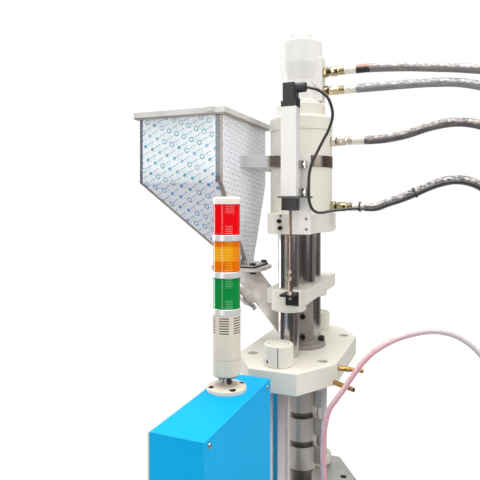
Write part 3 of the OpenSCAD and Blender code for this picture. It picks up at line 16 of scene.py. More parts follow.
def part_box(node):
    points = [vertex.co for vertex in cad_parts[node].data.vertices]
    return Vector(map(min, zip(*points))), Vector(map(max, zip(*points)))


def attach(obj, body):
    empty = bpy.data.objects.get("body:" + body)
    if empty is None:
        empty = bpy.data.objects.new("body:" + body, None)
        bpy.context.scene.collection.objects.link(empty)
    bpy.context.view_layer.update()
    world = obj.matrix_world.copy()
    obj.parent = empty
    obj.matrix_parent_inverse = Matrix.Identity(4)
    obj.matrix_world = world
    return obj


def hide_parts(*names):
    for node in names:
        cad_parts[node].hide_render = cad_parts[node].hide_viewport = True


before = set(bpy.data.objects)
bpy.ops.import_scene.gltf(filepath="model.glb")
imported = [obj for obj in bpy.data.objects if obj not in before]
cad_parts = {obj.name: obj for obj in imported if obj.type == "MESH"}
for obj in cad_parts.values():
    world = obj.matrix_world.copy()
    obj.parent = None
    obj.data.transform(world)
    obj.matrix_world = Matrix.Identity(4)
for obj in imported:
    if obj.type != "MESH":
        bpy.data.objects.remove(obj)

Colour = tuple[float, float, float, float]
Triple = tuple[float, float, float]
Value = Union[float, int, tuple, "Field"]

LOG = logging.getLogger("machine")
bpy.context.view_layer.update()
MM = 0.001
WHITE: Colour = (1.0, 1.0, 1.0, 1.0)
BLACK: Colour = (0.0, 0.0, 0.0, 1.0)

HEAD_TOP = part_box("head_platen")[1].z
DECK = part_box("base_cabinet")[1].z


def mm(*points: Sequence[float]) -> list[tuple[float, ...]]:
    """Return points that are written in millimetres, in metres."""
    return [tuple(part * MM for part in point) for point in points]


def srgb(red: int, green: int, blue: int) -> Colour:
    """Return a screen colour as the linear colour that a shader takes.

    Args:
        red: Its red, 0 to 255.
        green: Its green.
        blue: Its blue.

    Returns:
        The linear colour.
    """
    def channel(value: int) -> float:
        """Return one channel in linear light."""
        share = value / 255
        return share / 12.92 if share <= 0.04045 else ((share + 0.055) / 1.055) ** 2.4
    return (channel(red), channel(green), channel(blue), 1.0)


def dulled(colour: Colour, share: float) -> Colour:
    """Return a colour cut to a share of its light."""
    return (*(share * part for part in colour[:3]), 1.0)


class Field:
    """One socket's value, on which Python arithmetic adds Math nodes."""

    def __init__(self, graph: "Graph", socket: bpy.types.NodeSocket) -> None:
        """Keep the graph and the socket."""
        self.graph = graph
        self.socket = socket

    def math(self, operation: str, *others: Value) -> "Field":
        """Return this value put through a Math node.

        Args:
            operation: The Math node's operation.
            others: The node's second and third values.

        Returns:
            The node's result.
        """
        inputs = dict(enumerate((self, *others)))
        return self.graph.node("ShaderNodeMath", {"operation": operation}, inputs)

    def __add__(self, other: Value) -> "Field":
        """Return the sum."""
        return self.math("ADD", other)

    def __sub__(self, other: Value) -> "Field":
        """Return the difference."""
        return self.math("SUBTRACT", other)

    def __rsub__(self, other: Value) -> "Field":
        """Return the difference from other."""
        return self.graph.node("ShaderNodeMath", {"operation": "SUBTRACT"}, {0: other, 1: self})

    def __mul__(self, other: Value) -> "Field":
        """Return the product."""
        return self.math("MULTIPLY", other)

    __radd__ = __add__
    __rmul__ = __mul__

    def __truediv__(self, other: Value) -> "Field":
        """Return the quotient."""
        return self.math("DIVIDE", other)

    def __lt__(self, other: Value) -> "Field":
        """Return 1 where the value is less."""
        return self.math("LESS_THAN", other)

    def __gt__(self, other: Value) -> "Field":
        """Return 1 where the value is greater."""
        return self.math("GREATER_THAN", other)

    def floor(self) -> "Field":
        """Return the whole part."""
        return self.math("FLOOR")

    def fraction(self) -> "Field":
        """Return what is left of the whole part."""
        return self.math("FRACT")

    def size(self) -> "Field":
        """Return the value without its sign."""
        return self.math("ABSOLUTE")

    def most(self, other: Value) -> "Field":
        """Return the greater of two values."""
        return self.math("MAXIMUM", other)

    def least(self, other: Value) -> "Field":
        """Return the smaller of two values."""
        return self.math("MINIMUM", other)

    def reach(self, other: "Field") -> "Field":
        """Return how far the point of these two numbers is from zero."""
        return (self * self + other * other).math("SQRT")

    def phase(self, pitch: float) -> "Field":
        """Return how far the value is from the middle of its step, as a share of the pitch."""
        return (self / pitch).fraction() - 0.5

    def ramp(self, low: float, high: float, start: float = 0.0, end: float = 1.0) -> "Field":
        """Return the value eased from start at low to end at high.

        Args:
            low: Value at which the ramp begins.
            high: Value at which it ends.
            start: Result up to low.
            end: Result from high on.

        Returns:
            The eased value.
        """
        return self.graph.node("ShaderNodeMapRange", {"interpolation_type": "SMOOTHSTEP"},
                               {0: self, 1: low, 2: high, 3: start, 4: end})

    def line(self, width: float, soft: float) -> "Field":
        """Return 1 where the value is within width of zero, with an edge of soft."""
        return self.size().ramp(width - soft, width + soft, 1.0, 0.0)


class Graph:
    """The node tree of a material or a world."""

    def __init__(self, owner: Union[bpy.types.Material, bpy.types.World]) -> None:
        """Start the owner's tree anew.

        Args:
            owner: The material or world.
        """
        self.owner = owner
        owner.use_nodes = True
        self.tree = owner.node_tree
        self.tree.nodes.clear()

    @classmethod
    def material(cls, name: str) -> "Graph":
        """Return the empty tree of a new material."""
        return cls(bpy.data.materials.new(name))

    def node(self, kind: str, settings: Optional[dict] = None, inputs: Optional[dict] = None,
             output: Union[int, str] = 0) -> Field:
        """Add a node.

        Args:
            kind: The node's type.
            settings: Its properties, which are set first.
            inputs: Its sockets by name or number, each with a value or a link.
            output: The output that is wanted.

        Returns:
            That output.
        """
        node = self.tree.nodes.new(kind)
        for name, value in (settings or {}).items():
            setattr(node, name, value)
        for key, value in (inputs or {}).items():
            if isinstance(value, Field):
                self.tree.links.new(value.socket, node.inputs[key])
            else:
                node.inputs[key].default_value = value
        return Field(self, node.outputs[output])

    def place(self) -> Field:
        """Return the object's own coordinates, in metres."""
        return self.node("ShaderNodeTexCoord", output="Object")

    def map(self, name: str) -> tuple[Field, Field]:
        """Return both numbers of the UV map of that name."""
        return self.axes(self.node("ShaderNodeUVMap", {"uv_map": name}))[:2]

    def axes(self, vector: Field) -> tuple[Field, Field, Field]:
        """Return a vector's three numbers."""
        first = self.node("ShaderNodeSeparateXYZ", inputs={0: vector})
        outputs = first.socket.node.outputs
        return first, Field(self, outputs[1]), Field(self, outputs[2])

    def vector(self, x: Value, y: Value, z: Value = 0.0) -> Field:
        """Return three numbers as a vector."""
        return self.node("ShaderNodeCombineXYZ", inputs={0: x, 1: y, 2: z})

    def stretched(self, vector: Field, scale: Triple) -> Field:
        """Return a vector with each number scaled by its own factor."""
        return self.node("ShaderNodeVectorMath", {"operation": "MULTIPLY"}, {0: vector, 1: scale})

    def moved(self, vector: Field, step: Triple) -> Field:
        """Return a vector moved by step."""
        return self.node("ShaderNodeVectorMath", {"operation": "ADD"}, {0: vector, 1: step})

    def noise(self, vector: Field, scale: float, detail: float = 2.0, rough: float = 0.5) -> Field:
        """Return noise from 0 to 1.

        Args:
            vector: Where it is read.
            scale: Its waves a unit of vector.
            detail: Its octaves.
            rough: The weight of its finer octaves.

        Returns:
            The noise.
        """
        inputs = {"Vector": vector, "Scale": scale, "Detail": detail, "Roughness": rough}
        return self.node("ShaderNodeTexNoise", inputs=inputs)

    def waves(self, parts: Sequence[Field], scales: Sequence[float], detail: float,
              rough: float = 0.5) -> Field:
        """Return noise from 0 to 1 with its own scale along each number.

        Args:
            parts: The numbers that it is read by.
            scales: Its waves a unit of each.
            detail: Its octaves.
            rough: The weight of its finer octaves.

        Returns:
            The noise.
        """
        place = self.vector(*(part * scale for part, scale in zip(parts, scales)))
        return self.noise(place, 1, detail, rough)

    def mix(self, factor: Value, first: Value, second: Value) -> Field:
        """Return two colours mixed by factor."""
        inputs = {0: factor, 6: first, 7: second}
        return self.node("ShaderNodeMix", {"data_type": "RGBA"}, inputs, 2)

    def edges(self, radius: float) -> tuple[Field, Field]:
        """Return a normal that rounds sharp edges, and how near an edge is.

        Args:
            radius: The edge's radius.

        Returns:
            The rounded normal, and a mask that is 1 on edges.
        """
        samples = 6
        rounded = self.node("ShaderNodeBevel", {"samples": samples}, {"Radius": radius})
        normal = self.node("ShaderNodeNewGeometry", output="Normal")
        product = {"operation": "DOT_PRODUCT"}
        along = self.node("ShaderNodeVectorMath", product, {0: rounded, 1: normal}, "Value")
        return rounded, (1 - along).ramp(0.01, 0.16)

    def bump(self, height: Field, distance: float, normal: Optional[Field] = None) -> Field:
        """Return a normal bent by a height.

        Args:
            height: The height, from 0 to 1.
            distance: What 1 stands for.
            normal: The normal that is bent.

        Returns:
            The bent normal.
        """
        inputs = {"Height": height, "Distance": distance, "Strength": 1.0}
        if normal is not None:
            inputs["Normal"] = normal
        return self.node("ShaderNodeBump", inputs=inputs)

    def finish(self, **sockets: Value) -> bpy.types.Material:
        """Close the tree with a principled shader.

        Args:
            sockets: Its sockets, with underscores for spaces.

        Returns:
            The material.
        """
        named = {key.replace("_", " "): value for key, value in sockets.items()}
        self.close("ShaderNodeOutputMaterial", self.node("ShaderNodeBsdfPrincipled", inputs=named))
        return self.owner

    def close(self, kind: str, shader: Field) -> None:
        """Link a shader to a new output node of that kind."""
        output = self.tree.nodes.new(kind)
        self.tree.links.new(shader.socket, output.inputs[0])


class Grain(Enum):
    """How a machined surface's marks are stretched along X, Y and Z."""

    TURNED = (6.0, 6.0, 1500.0)
    DRAWN = (1100.0, 1100.0, 9.0)
    GROUND_X = (9.0, 1100.0, 1100.0)
    GROUND_Y = (1100.0, 9.0, 1100.0)
    EVEN = (500.0, 500.0, 500.0)


class Finish:
    """A finish whose material is made once."""

    made: dict[str, bpy.types.Material] = {}
    name: str

    def build(self) -> bpy.types.Material:
        """Return a new material."""
        raise NotImplementedError

    def material(self) -> bpy.types.Material:
        """Return the finish's material."""
        if self.name not in Finish.made:
            Finish.made[self.name] = self.build()
        return Finish.made[self.name]

    def on(self, *nodes: str) -> None:
        """Give CAD nodes this finish."""
        for node in nodes:
            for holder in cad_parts[node].material_slots:
                holder.material = self.material()


@dataclass(frozen=True)
class Enamel(Finish):
    """Sprayed enamel with faint orange peel and clouding, and lighter edges: rubbed wear and a
    painted edge highlight.
    """

    name: str
    colour: Colour
    worn_and_lit: Colour
    roughness: float = 0.33
    gloss: float = 0.5
    edge: float = 1.4 * MM
    peel: float = 0.02 * MM
    cloud_scale: float = 7
    peel_scale: float = 420
    speckle_scale: float = 900
    dust: float = 0.95
    speckles: float = 0.25
    rubbed_and_lit_edge: float = 0.55

    def build(self) -> bpy.types.Material:
        """Make the enamel's material.

        Returns:
            The material.
        """
        graph = Graph.material(self.name)
        place = graph.place()
        cloud = graph.noise(place, self.cloud_scale, 5)
        grain = graph.noise(place, self.peel_scale, 2)
        rounded, edge = graph.edges(self.edge)
        dusty = dulled(self.colour, self.dust)
        coat = graph.mix(cloud.ramp(0.35, 0.75), self.colour, dusty)
        speckle = graph.noise(place, self.speckle_scale, 1).ramp(0.68, 0.74) * self.speckles
        coat = graph.mix(speckle, coat, dusty)
        # Lighter edges: rubbed wear and a painted edge highlight.
        coat = graph.mix(edge * self.rubbed_and_lit_edge, coat, self.worn_and_lit)
        return graph.finish(
            Base_Color=coat, Roughness=self.roughness + 0.12 * cloud + 0.05 * grain,
            Specular_IOR_Level=self.gloss, Normal=graph.bump(grain, self.peel, rounded))


@dataclass(frozen=True)
class Metal(Finish):
    """Machined, ground or plated metal with marks that follow its grain, lighter edges from wear
    and a painted edge highlight, and a painted lit end where bright is given.
    """

    name: str
    colour: Colour
    shade: Colour
    grain: Grain = Grain.EVEN
    roughness: float = 0.25
    marks: float = 0.004 * MM
    edge: float = 0.5 * MM
    stain: float = 0.35
    metallic: float = 1.0
    paint: Optional[Colour] = None
    painted_above: float = 0.0
    bright: Optional[Colour] = None
    bright_below: float = 0.0
    bright_fade: float = 12 * MM
    rubbed_and_lit_edge: Colour = (0.9, 0.9, 0.9, 1.0)
    cloud_scale: float = 16
    uneven: float = 0.16
    paint_sheen: float = 0.25

    def build(self) -> bpy.types.Material:
        """Make the metal's material.

        Returns:
            The material.
        """
        graph = Graph.material(self.name)
        place = graph.place()
        streak = graph.noise(graph.stretched(place, self.grain.value), 1, 3)
        cloud = graph.noise(place, self.cloud_scale, 6, 0.65)
        rounded, edge = graph.edges(self.edge)
        tone = graph.mix(cloud.ramp(0.4, 0.72) * self.stain, self.colour, self.shade)
        tone = graph.mix(streak.ramp(0.3, 0.7) * 0.35, tone, self.shade)
        # Lighter edges: rubbed wear and a painted edge highlight.
        tone = graph.mix(edge * 0.5, tone, self.rubbed_and_lit_edge)
        sheen = self.roughness + self.uneven * cloud * streak
        metal: Value = self.metallic
        # Painted light: below bright_below along X the metal fades to the bright colour and turns
        # less metallic, so that end looks lit.
        if self.bright is not None:
            full = self.bright_below - self.bright_fade
            painted_lit_end = graph.axes(place)[0].ramp(full, self.bright_below, 1.0, 0.0)
            tone = graph.mix(painted_lit_end * 0.9, tone, self.bright)
            metal = 1 - painted_lit_end * 0.6
        if self.paint is not None:
            painted = graph.axes(place)[2] > self.painted_above
            tone = graph.mix(painted, tone, self.paint)
            metal = self.metallic - painted * self.metallic
            sheen = sheen + painted * self.paint_sheen
        return graph.finish(Base_Color=tone, Metallic=metal, Roughness=sheen,
                            Normal=graph.bump(streak, self.marks, rounded))


@dataclass(frozen=True)
class Casting(Finish):
    """Sand-cast grey metal: grainy, with pits, edges lighter from polish and a painted edge
    highlight, and painted shade towards the barrel, where it lies between the rods.
    """

    name: str
    colour: Colour
    dark: Colour
    bright: Colour
    painted_shade: Colour
    near: tuple[float, float] = (-75 * MM, -40 * MM)
    edge: float = 2.5 * MM
    relief: float = 0.25 * MM
    grit_scale: float = 700
    cloud_scale: float = 28
    pit_scale: float = 240

    def build(self) -> bpy.types.Material:
        """Make the casting's material.

        Returns:
            The material.
        """
        graph = Graph.material(self.name)
        place = graph.place()
        grit = graph.noise(place, self.grit_scale, 3, 0.7)
        cloud = graph.noise(place, self.cloud_scale, 5, 0.6)
        pits = graph.noise(place, self.pit_scale, 2).ramp(0.63, 0.7)
        rounded, edge = graph.edges(self.edge)
        tone = graph.mix(cloud.ramp(0.3, 0.7), self.colour, self.dark)
        tone = graph.mix(grit.ramp(0.45, 0.7) * 0.5, tone, self.bright)
        # Painted shade: towards the barrel the casting is painted darker, where it lies between the
        # rods.
        near = graph.axes(place)[0].ramp(*self.near)
        tone = graph.mix(near * 0.75, tone, self.painted_shade)
        tone = graph.mix(pits * 0.6, tone, self.dark)
        # Lighter edges: polish and a painted edge highlight.
        tone = graph.mix(edge * 0.45, tone, self.bright)
        height = grit * 0.5 + cloud * 0.8 - pits * 0.6
        return graph.finish(
            Base_Color=tone, Metallic=0.25, Roughness=0.5 - 0.15 * edge + 0.1 * grit,
            Normal=graph.bump(height, self.relief, rounded))


@dataclass(frozen=True)
class Moulded(Finish):
    """Moulded plastic or rubber with a fine spark texture, a rubbed sheen, lighter edges from wear
    and a painted edge highlight, and painted shade inside a shell where dark_inside is set.
    """

    name: str
    colour: Colour
    rubbed_and_lit_edge: Colour
    roughness: float = 0.45
    gloss: float = 0.5
    texture: float = 0.02 * MM
    edge: float = 0.8 * MM
    axis: tuple[float, float] = (0.0, 0.0)
    dark_inside: float = 0.0
    shadow: Colour = srgb(48, 40, 34)
    spark_scale: float = 1600
    cloud_scale: float = 35

    def build(self) -> bpy.types.Material:
        """Make the plastic's material.

        Returns:
            The material.
        """
        graph = Graph.material(self.name)
        place = graph.place()
        spark = graph.noise(place, self.spark_scale, 2)
        cloud = graph.noise(place, self.cloud_scale, 4)
        rounded, edge = graph.edges(self.edge)
        tone = graph.mix(cloud.ramp(0.45, 0.8) * 0.35, self.colour, self.rubbed_and_lit_edge)
        # Lighter edges: rubbed wear and a painted edge highlight.
        tone = graph.mix(edge * 0.4, tone, self.rubbed_and_lit_edge)
        if self.dark_inside:
            x, y, _ = graph.axes(graph.moved(place, (-self.axis[0], -self.axis[1], 0.0)))
            inside = x.reach(y) < self.dark_inside
            tone = graph.mix(inside * 0.9, tone, self.shadow)
        return graph.finish(
            Base_Color=tone, Roughness=self.roughness + 0.12 * cloud, Specular_IOR_Level=self.gloss,
            Normal=graph.bump(spark, self.texture, rounded))


@dataclass(frozen=True)
class Lens(Finish):
    """Coloured lens: clear gloss over prism bars at both ends with painted highlights, and painted
    glowing cells in one.
    """

    name: str
    colour: Colour
    deep: Colour
    glint: Colour
    axis: tuple[float, float]
    low: float
    high: float
    painted_glow_cells: bool = False
    pitch: float = 3.1 * MM
    cell: float = 4.6 * MM
    cell_turn: float = 12.0
    bar_turn: float = -56.0
    bar_step: float = 90.0
    glow_turn: float = -100.0
    relief: float = 0.04 * MM
    mottle_waves: tuple[float, float] = (0.16, 420)

    def build(self) -> bpy.types.Material:
        """Make the lens's material.

        Returns:
            The material.
        """
        graph = Graph.material(self.name)
        x, y, z = graph.axes(graph.moved(graph.place(), (-self.axis[0], -self.axis[1], -self.low)))
        turn = y.math("ARCTAN2", x) * (180 / math.pi)
        tall = self.high - self.low
        groove = z.phase(self.pitch).size() * 2
        off_middle = (z - tall * 0.5).size()
        ends = off_middle.ramp(tall * 0.17, tall * 0.22)
        bars = ((turn - self.bar_turn).phase(self.bar_step).size() - 0.5).line(0.17, 0.02)
        mottle = graph.waves((turn, z), self.mottle_waves, 3, 0.6)
        tone = graph.mix(mottle.ramp(0.42, 0.62) * 0.5, self.colour, self.deep)
        tone = graph.mix(groove.ramp(0.2, 0.8) * 0.18, tone, self.deep)
        rim = off_middle.ramp(tall * 0.44, tall * 0.5)
        tone = graph.mix(rim * 0.6, tone, self.deep)
        # Painted highlights: the prism bars at both ends take the glint colour in their grooves.
        shine = groove.ramp(0.55, 0.75) * bars * ends
        tone = graph.mix(bars * ends * 0.25, tone, self.deep)
        tone = graph.mix(shine * 0.5, tone, self.glint)
        # Painted glow: where cells are asked for, a band of cells in the upper part is painted
        # towards the glint colour, most on the side near glow_turn.
        if self.painted_glow_cells:
            row, column = z.phase(self.cell), turn.phase(self.cell_turn)
            spot = row.reach(column).ramp(0.2, 0.42, 1.0, 0.0)
            upper_painted_light = (z - tall * 0.58).line(tall * 0.23, tall * 0.03)
            near = (turn - self.glow_turn).size().ramp(40, 75, 1.0, 0.4)
            tone = graph.mix(upper_painted_light * near * (0.35 + 0.4 * spot), tone, self.glint)
        return graph.finish(
            Base_Color=tone, Roughness=0.25, Specular_IOR_Level=0.0, Coat_Weight=0.75,
            Coat_Roughness=0.03, Coat_IOR=1.38, Normal=graph.bump(groove * ends, self.relief))


@dataclass(frozen=True)
class PanelFace(Finish):
    """Sprayed panel with a dark glass screen and darker keys, placed by the panel's own corner,
    with lighter edges from rubbed wear and a painted edge highlight.
    """

    name: str
    colour: Colour
    glass: Colour
    keys: Colour
    corner: tuple[float, float]
    width: float
    screen_side: float = 42 * MM
    screen_rows: tuple[float, float] = (-208 * MM, -52 * MM)
    key_pitch: float = 30 * MM
    key_radius: float = 9.5 * MM
    key_start: tuple[float, float] = (35 * MM, -345 * MM)
    key_area: tuple[float, float] = (60 * MM, 45 * MM)
    edge: float = 0.8 * MM
    rubbed_and_lit_edge: Colour = srgb(222, 224, 226)
    peel: float = 0.01 * MM
    cloud_scale: float = 9
    peel_scale: float = 420
    dust: float = 0.93

    def build(self) -> bpy.types.Material:
        """Make the panel's material.

        Returns:
            The material.
        """
        graph = Graph.material(self.name)
        place = graph.place()
        _, across, up = graph.axes(graph.moved(place, (0.0, -self.corner[0], -self.corner[1])))
        grain = graph.noise(place, self.peel_scale, 2)
        cloud = graph.noise(place, self.cloud_scale, 4)
        normal, edge = graph.edges(self.edge)
        middle = (self.screen_rows[0] + self.screen_rows[1]) / 2
        inside = (across - self.width / 2).size() < self.width / 2 - self.screen_side
        screen = inside * ((up - middle).size() < self.screen_rows[1] - middle)
        first, second = across - self.key_start[0], up - self.key_start[1]
        u, v = (part.phase(self.key_pitch) * self.key_pitch for part in (first, second))
        disc = u.reach(v) < self.key_radius
        area = ((first - self.key_area[0]).size() < self.key_area[0]) * (
            (second - self.key_area[1]).size() < self.key_area[1])
        tone = graph.mix(cloud.ramp(0.4, 0.7), self.colour, dulled(self.colour, self.dust))
        tone = graph.mix(disc * area, tone, self.keys)
        # Lighter edges: rubbed wear and a painted edge highlight.
        tone = graph.mix(edge * 0.5, tone, self.rubbed_and_lit_edge)
        tone = graph.mix(screen, tone, self.glass)
        return graph.finish(
            Base_Color=tone, Roughness=0.42 + 0.1 * cloud - 0.3 * screen, Specular_IOR_Level=0.4,
            Normal=graph.bump(grain, self.peel, normal))


@dataclass(frozen=True)
class Sleeve(Finish):
    """Hose or cable cover, read along its length: stripes of wear, a painted lighter upper side,
    painted glints on that side, and a band at its start.

    The map's first number is 0 on the side that faces up where a hose leaves its port.
    """

    name: str
    colour: Colour
    worn_and_lit: Colour
    glint: Colour
    roughness: float = 0.4
    wear: float = 0.5
    glints: float = 0.0
    band: Optional[Colour] = None
    band_end: float = 0.03
    far: Optional[Colour] = None
    fade: tuple[float, float] = (0.3, 0.5)
    painted_underside_shade: Colour = srgb(26, 22, 22)
    ragged: float = 12 * MM
    relief: float = 0.3 * MM
    strip_waves: Triple = (1.3, 1.3, 22)
    fine_waves: Triple = (7, 7, 420)
    ripple_waves: Triple = (2.6, 2.6, 110)

    def build(self) -> bpy.types.Material:
        """Make the sleeve's material.

        Returns:
            The material.
        """
        graph = Graph.material(self.name)
        around, along = graph.map("Sleeve")
        angle = around * (2 * math.pi)
        east, north = angle.math("COSINE"), angle.math("SINE")
        place = (east, north, along)
        strip = graph.waves(place, self.strip_waves, 5, 0.65)
        fine = graph.waves(place, self.fine_waves, 3)
        ripple = graph.waves(place, self.ripple_waves, 5, 0.75)
        scuff = strip.ramp(0.45, 0.7) * fine.ramp(0.3, 0.6)
        # Painted light: the upper side is painted lighter towards the worn colour, together with
        # the real scuffs of wear.
        upper_painted_light = east.ramp(-0.25, 0.25)
        tone = graph.mix((scuff * self.wear).most(upper_painted_light * 0.4), self.colour, self.worn_and_lit)
        if self.far is not None:
            tone = graph.mix(along.ramp(*self.fade), tone, self.far)
        # Painted highlights: glints in the glint colour, only on the upper side.
        glints = ripple.ramp(0.46, 0.57) * upper_painted_light * self.glints
        tone = graph.mix(glints, tone, self.glint)
        height = fine * 0.25 + strip + ripple * self.glints * 1.5
        # The band is an orange print on the first hose and, on the fourth, a pale mottle on the
        # upper side that is a painted highlight; under it the lower side is painted near-black as
        # painted shade.
        if self.band is not None:
            ragged = along + (strip - 0.5) * self.ragged
            fading = ragged.ramp(self.band_end * 0.6, self.band_end * 1.7, 1.0, 0.0)
            tone = graph.mix(fading * east.ramp(0.0, 0.4) * ripple.ramp(0.3, 0.5), tone, self.band)
            tone = graph.mix((ragged < self.band_end) * (1 - east.ramp(0.0, 0.3)), tone, self.painted_underside_shade)
        return graph.finish(
            Base_Color=tone, Roughness=self.roughness + 0.2 * strip - 0.2 * glints,
            Normal=graph.bump(height, self.relief))


@dataclass(frozen=True)
class Film(Finish):
    """Film on sheet steel: slanted rows of plain shapes, dark strips and bare steel along bends."""

    name: str
    ground: Colour
    inks: tuple[Colour, Colour]
    cell: tuple[float, float]
    slant: float
    stroke: float
    strength: float
    bare: tuple[float, float]
    steel: Colour
    strips: tuple[float, float] = (0.0, 0.0)
    small: float = 0.0
    strip_tone: Colour = srgb(54, 57, 74)
    fleck_tone: Colour = srgb(206, 210, 222)
    glare: Colour = srgb(214, 206, 196)
    crease_waves: tuple[float, float] = (24, 13)
    fade_waves: tuple[float, float] = (60, 60)
    ragged_waves: tuple[float, float] = (300, 300)
    fleck_waves: tuple[float, float] = (900, 500)
    streak_waves: tuple[float, float] = (2500, 30)
    stagger: float = 0.382
    soft: float = 0.4 * MM
    ragged: float = 1.2 * MM
    relief: float = 0.5 * MM

    def rows(self, graph: Graph, across: Field, up: Field) -> tuple[Field, Field, Field, Field]:
        """Divide the sheet into staggered cells along its slant.

        Args:
            graph: The material's graph.
            across: Place across the sheet.
            up: Place up the sheet.

        Returns:
            Both places within a cell, the row's number, and a chance value of the cell.
        """
        cos, sin = math.cos(math.radians(self.slant)), math.sin(math.radians(self.slant))
        first = across * cos + up * sin
        second = up * cos - across * sin
        wide, tall = self.cell
        row = (second / tall).floor()
        step = first / wide + (row * self.stagger).fraction()
        a = (step.fraction() - 0.5) * wide
        b = second.phase(tall) * tall
        pick = graph.node("ShaderNodeTexWhiteNoise", {"noise_dimensions": "2D"},
                          {"Vector": graph.vector(row, step.floor())})
        return a, b, row, pick

    def motif(self, graph: Graph, across: Field, up: Field) -> tuple[Field, Field]:
        """Lay out the print: a ring or a diamond and dots in each cell, over a fine dashed line.

        Args:
            graph: The material's graph.
            across: Place across the sheet.
            up: Place up the sheet.

        Returns:
            The print's mask, and a number that differs from motif to motif.
        """
        a, b, row, pick = self.rows(graph, across, up)
        wide, tall = self.cell
        reach, soft, half = 0.3 * tall, self.soft, self.stroke / 2
        left = a + wide * 0.27
        ring = (left.reach(b) - reach).line(half, soft)
        diamond = (b.size() + left.size() * 0.8).ramp(reach - soft, reach + soft, 1.0, 0.0)
        pitch = wide * 0.17
        dot = ((a - wide * 0.06).phase(pitch) * pitch).reach(b).line(pitch * 0.3, soft)
        dot = dot * (a - wide * 0.2).line(wide * 0.25, soft)
        shape = ring * (pick < 0.5) + diamond * (pick > 0.5) + dot
        if self.small:
            dash = a.phase(self.stroke * 1.6).line(0.34, 0.08)
            dash = dash * (b + tall * 0.4).line(half * 0.6, soft) * a.line(wide * 0.36, soft)
            shape = shape + dash * self.small
        return shape.least(1.0), (pick * 7.3 + row * 0.31).fraction()

    def build(self) -> bpy.types.Material:
        """Make the film's material.

        Returns:
            The material.
        """
        graph = Graph.material(self.name)
        place = graph.map("Print")
        start, end = graph.map("Edge")
        shape, other = self.motif(graph, *place)
        crease = graph.waves(place, self.crease_waves, 4, 0.6)
        sheet = graph.mix(crease.ramp(0.45, 0.75), self.ground, dulled(self.ground, 0.9))
        ink = graph.mix(other.ramp(0.35, 0.65), *self.inks)
        fade = graph.waves(place, self.fade_waves, 2).ramp(0.2, 0.55, 0.55, 1.0)
        sheet = graph.mix(shape * fade * self.strength, sheet, ink)
        ragged = (graph.waves(place, self.ragged_waves, 2) - 0.5) * self.ragged
        if self.strips[0] + self.strips[1]:
            strip = ((start + ragged) < self.bare[0] + self.strips[0]).most(
                (end + ragged) < self.bare[1] + self.strips[1])
            fleck = graph.waves(place, self.fleck_waves, 2, 0.7).ramp(0.5, 0.66)
            dark = graph.mix(fleck * 0.75, self.strip_tone, self.fleck_tone)
            sheet = graph.mix(strip * 0.95, sheet, dark)
        metal = ((start + ragged) < self.bare[0]).most((end + ragged) < self.bare[1])
        streak = graph.waves(place, self.streak_waves, 3)
        tone = graph.mix(metal, sheet, graph.mix(streak * 0.4, self.steel, self.glare))
        return graph.finish(
            Base_Color=tone, Metallic=metal * 0.4, Roughness=0.3 + 0.14 * crease,
            Coat_Weight=0.25 * (1 - metal), Coat_Roughness=0.12,
            Normal=graph.bump(crease + streak * metal * 0.05, self.relief))


def meshed(name: str, part: bmesh.types.BMesh, *materials: bpy.types.Material) -> bpy.types.Mesh:
    """Return the mesh of a form.

    Args:
        name: The mesh's name.
        part: The form, which is used up.
        materials: The material of each slot.

    Returns:
        The mesh.
    """
    mesh = bpy.data.meshes.new(name)
    part.to_mesh(mesh)
    part.free()
    for material in materials:
        mesh.materials.append(material)
    return mesh


def shown(name: str, data: bpy.types.ID) -> bpy.types.Object:
    """Return a new object of the scene with this data."""
    thing = bpy.data.objects.new(name, data)
    bpy.context.scene.collection.objects.link(thing)
    return thing


def about_z(turn: float) -> Matrix:
    """Return the matrix that turns by degrees about Z."""
    return Matrix.Rotation(math.radians(turn), 4, "Z")


def bevelled(part: bmesh.types.BMesh, edges: Sequence[bmesh.types.BMEdge], width: float,
             segments: int) -> None:
    """Round some of a form's edges."""
    bmesh.ops.bevel(part, geom=edges, offset=width, offset_type="OFFSET", segments=segments,
                    profile=0.5, affect="EDGES", clamp_overlap=True, material=-1)


def grown(part: bmesh.types.BMesh, edges: Sequence[bmesh.types.BMEdge]) -> tuple[list, list]:
    """Extrude edges.

    Args:
        part: The form that they are on.
        edges: The edges.

    Returns:
        The new points, and the new edges.
    """
    more = bmesh.ops.extrude_edge_only(part, edges=edges)["geom"]
    points, lines = ([item for item in more if isinstance(item, kind)]
                     for kind in (bmesh.types.BMVert, bmesh.types.BMEdge))
    return points, lines


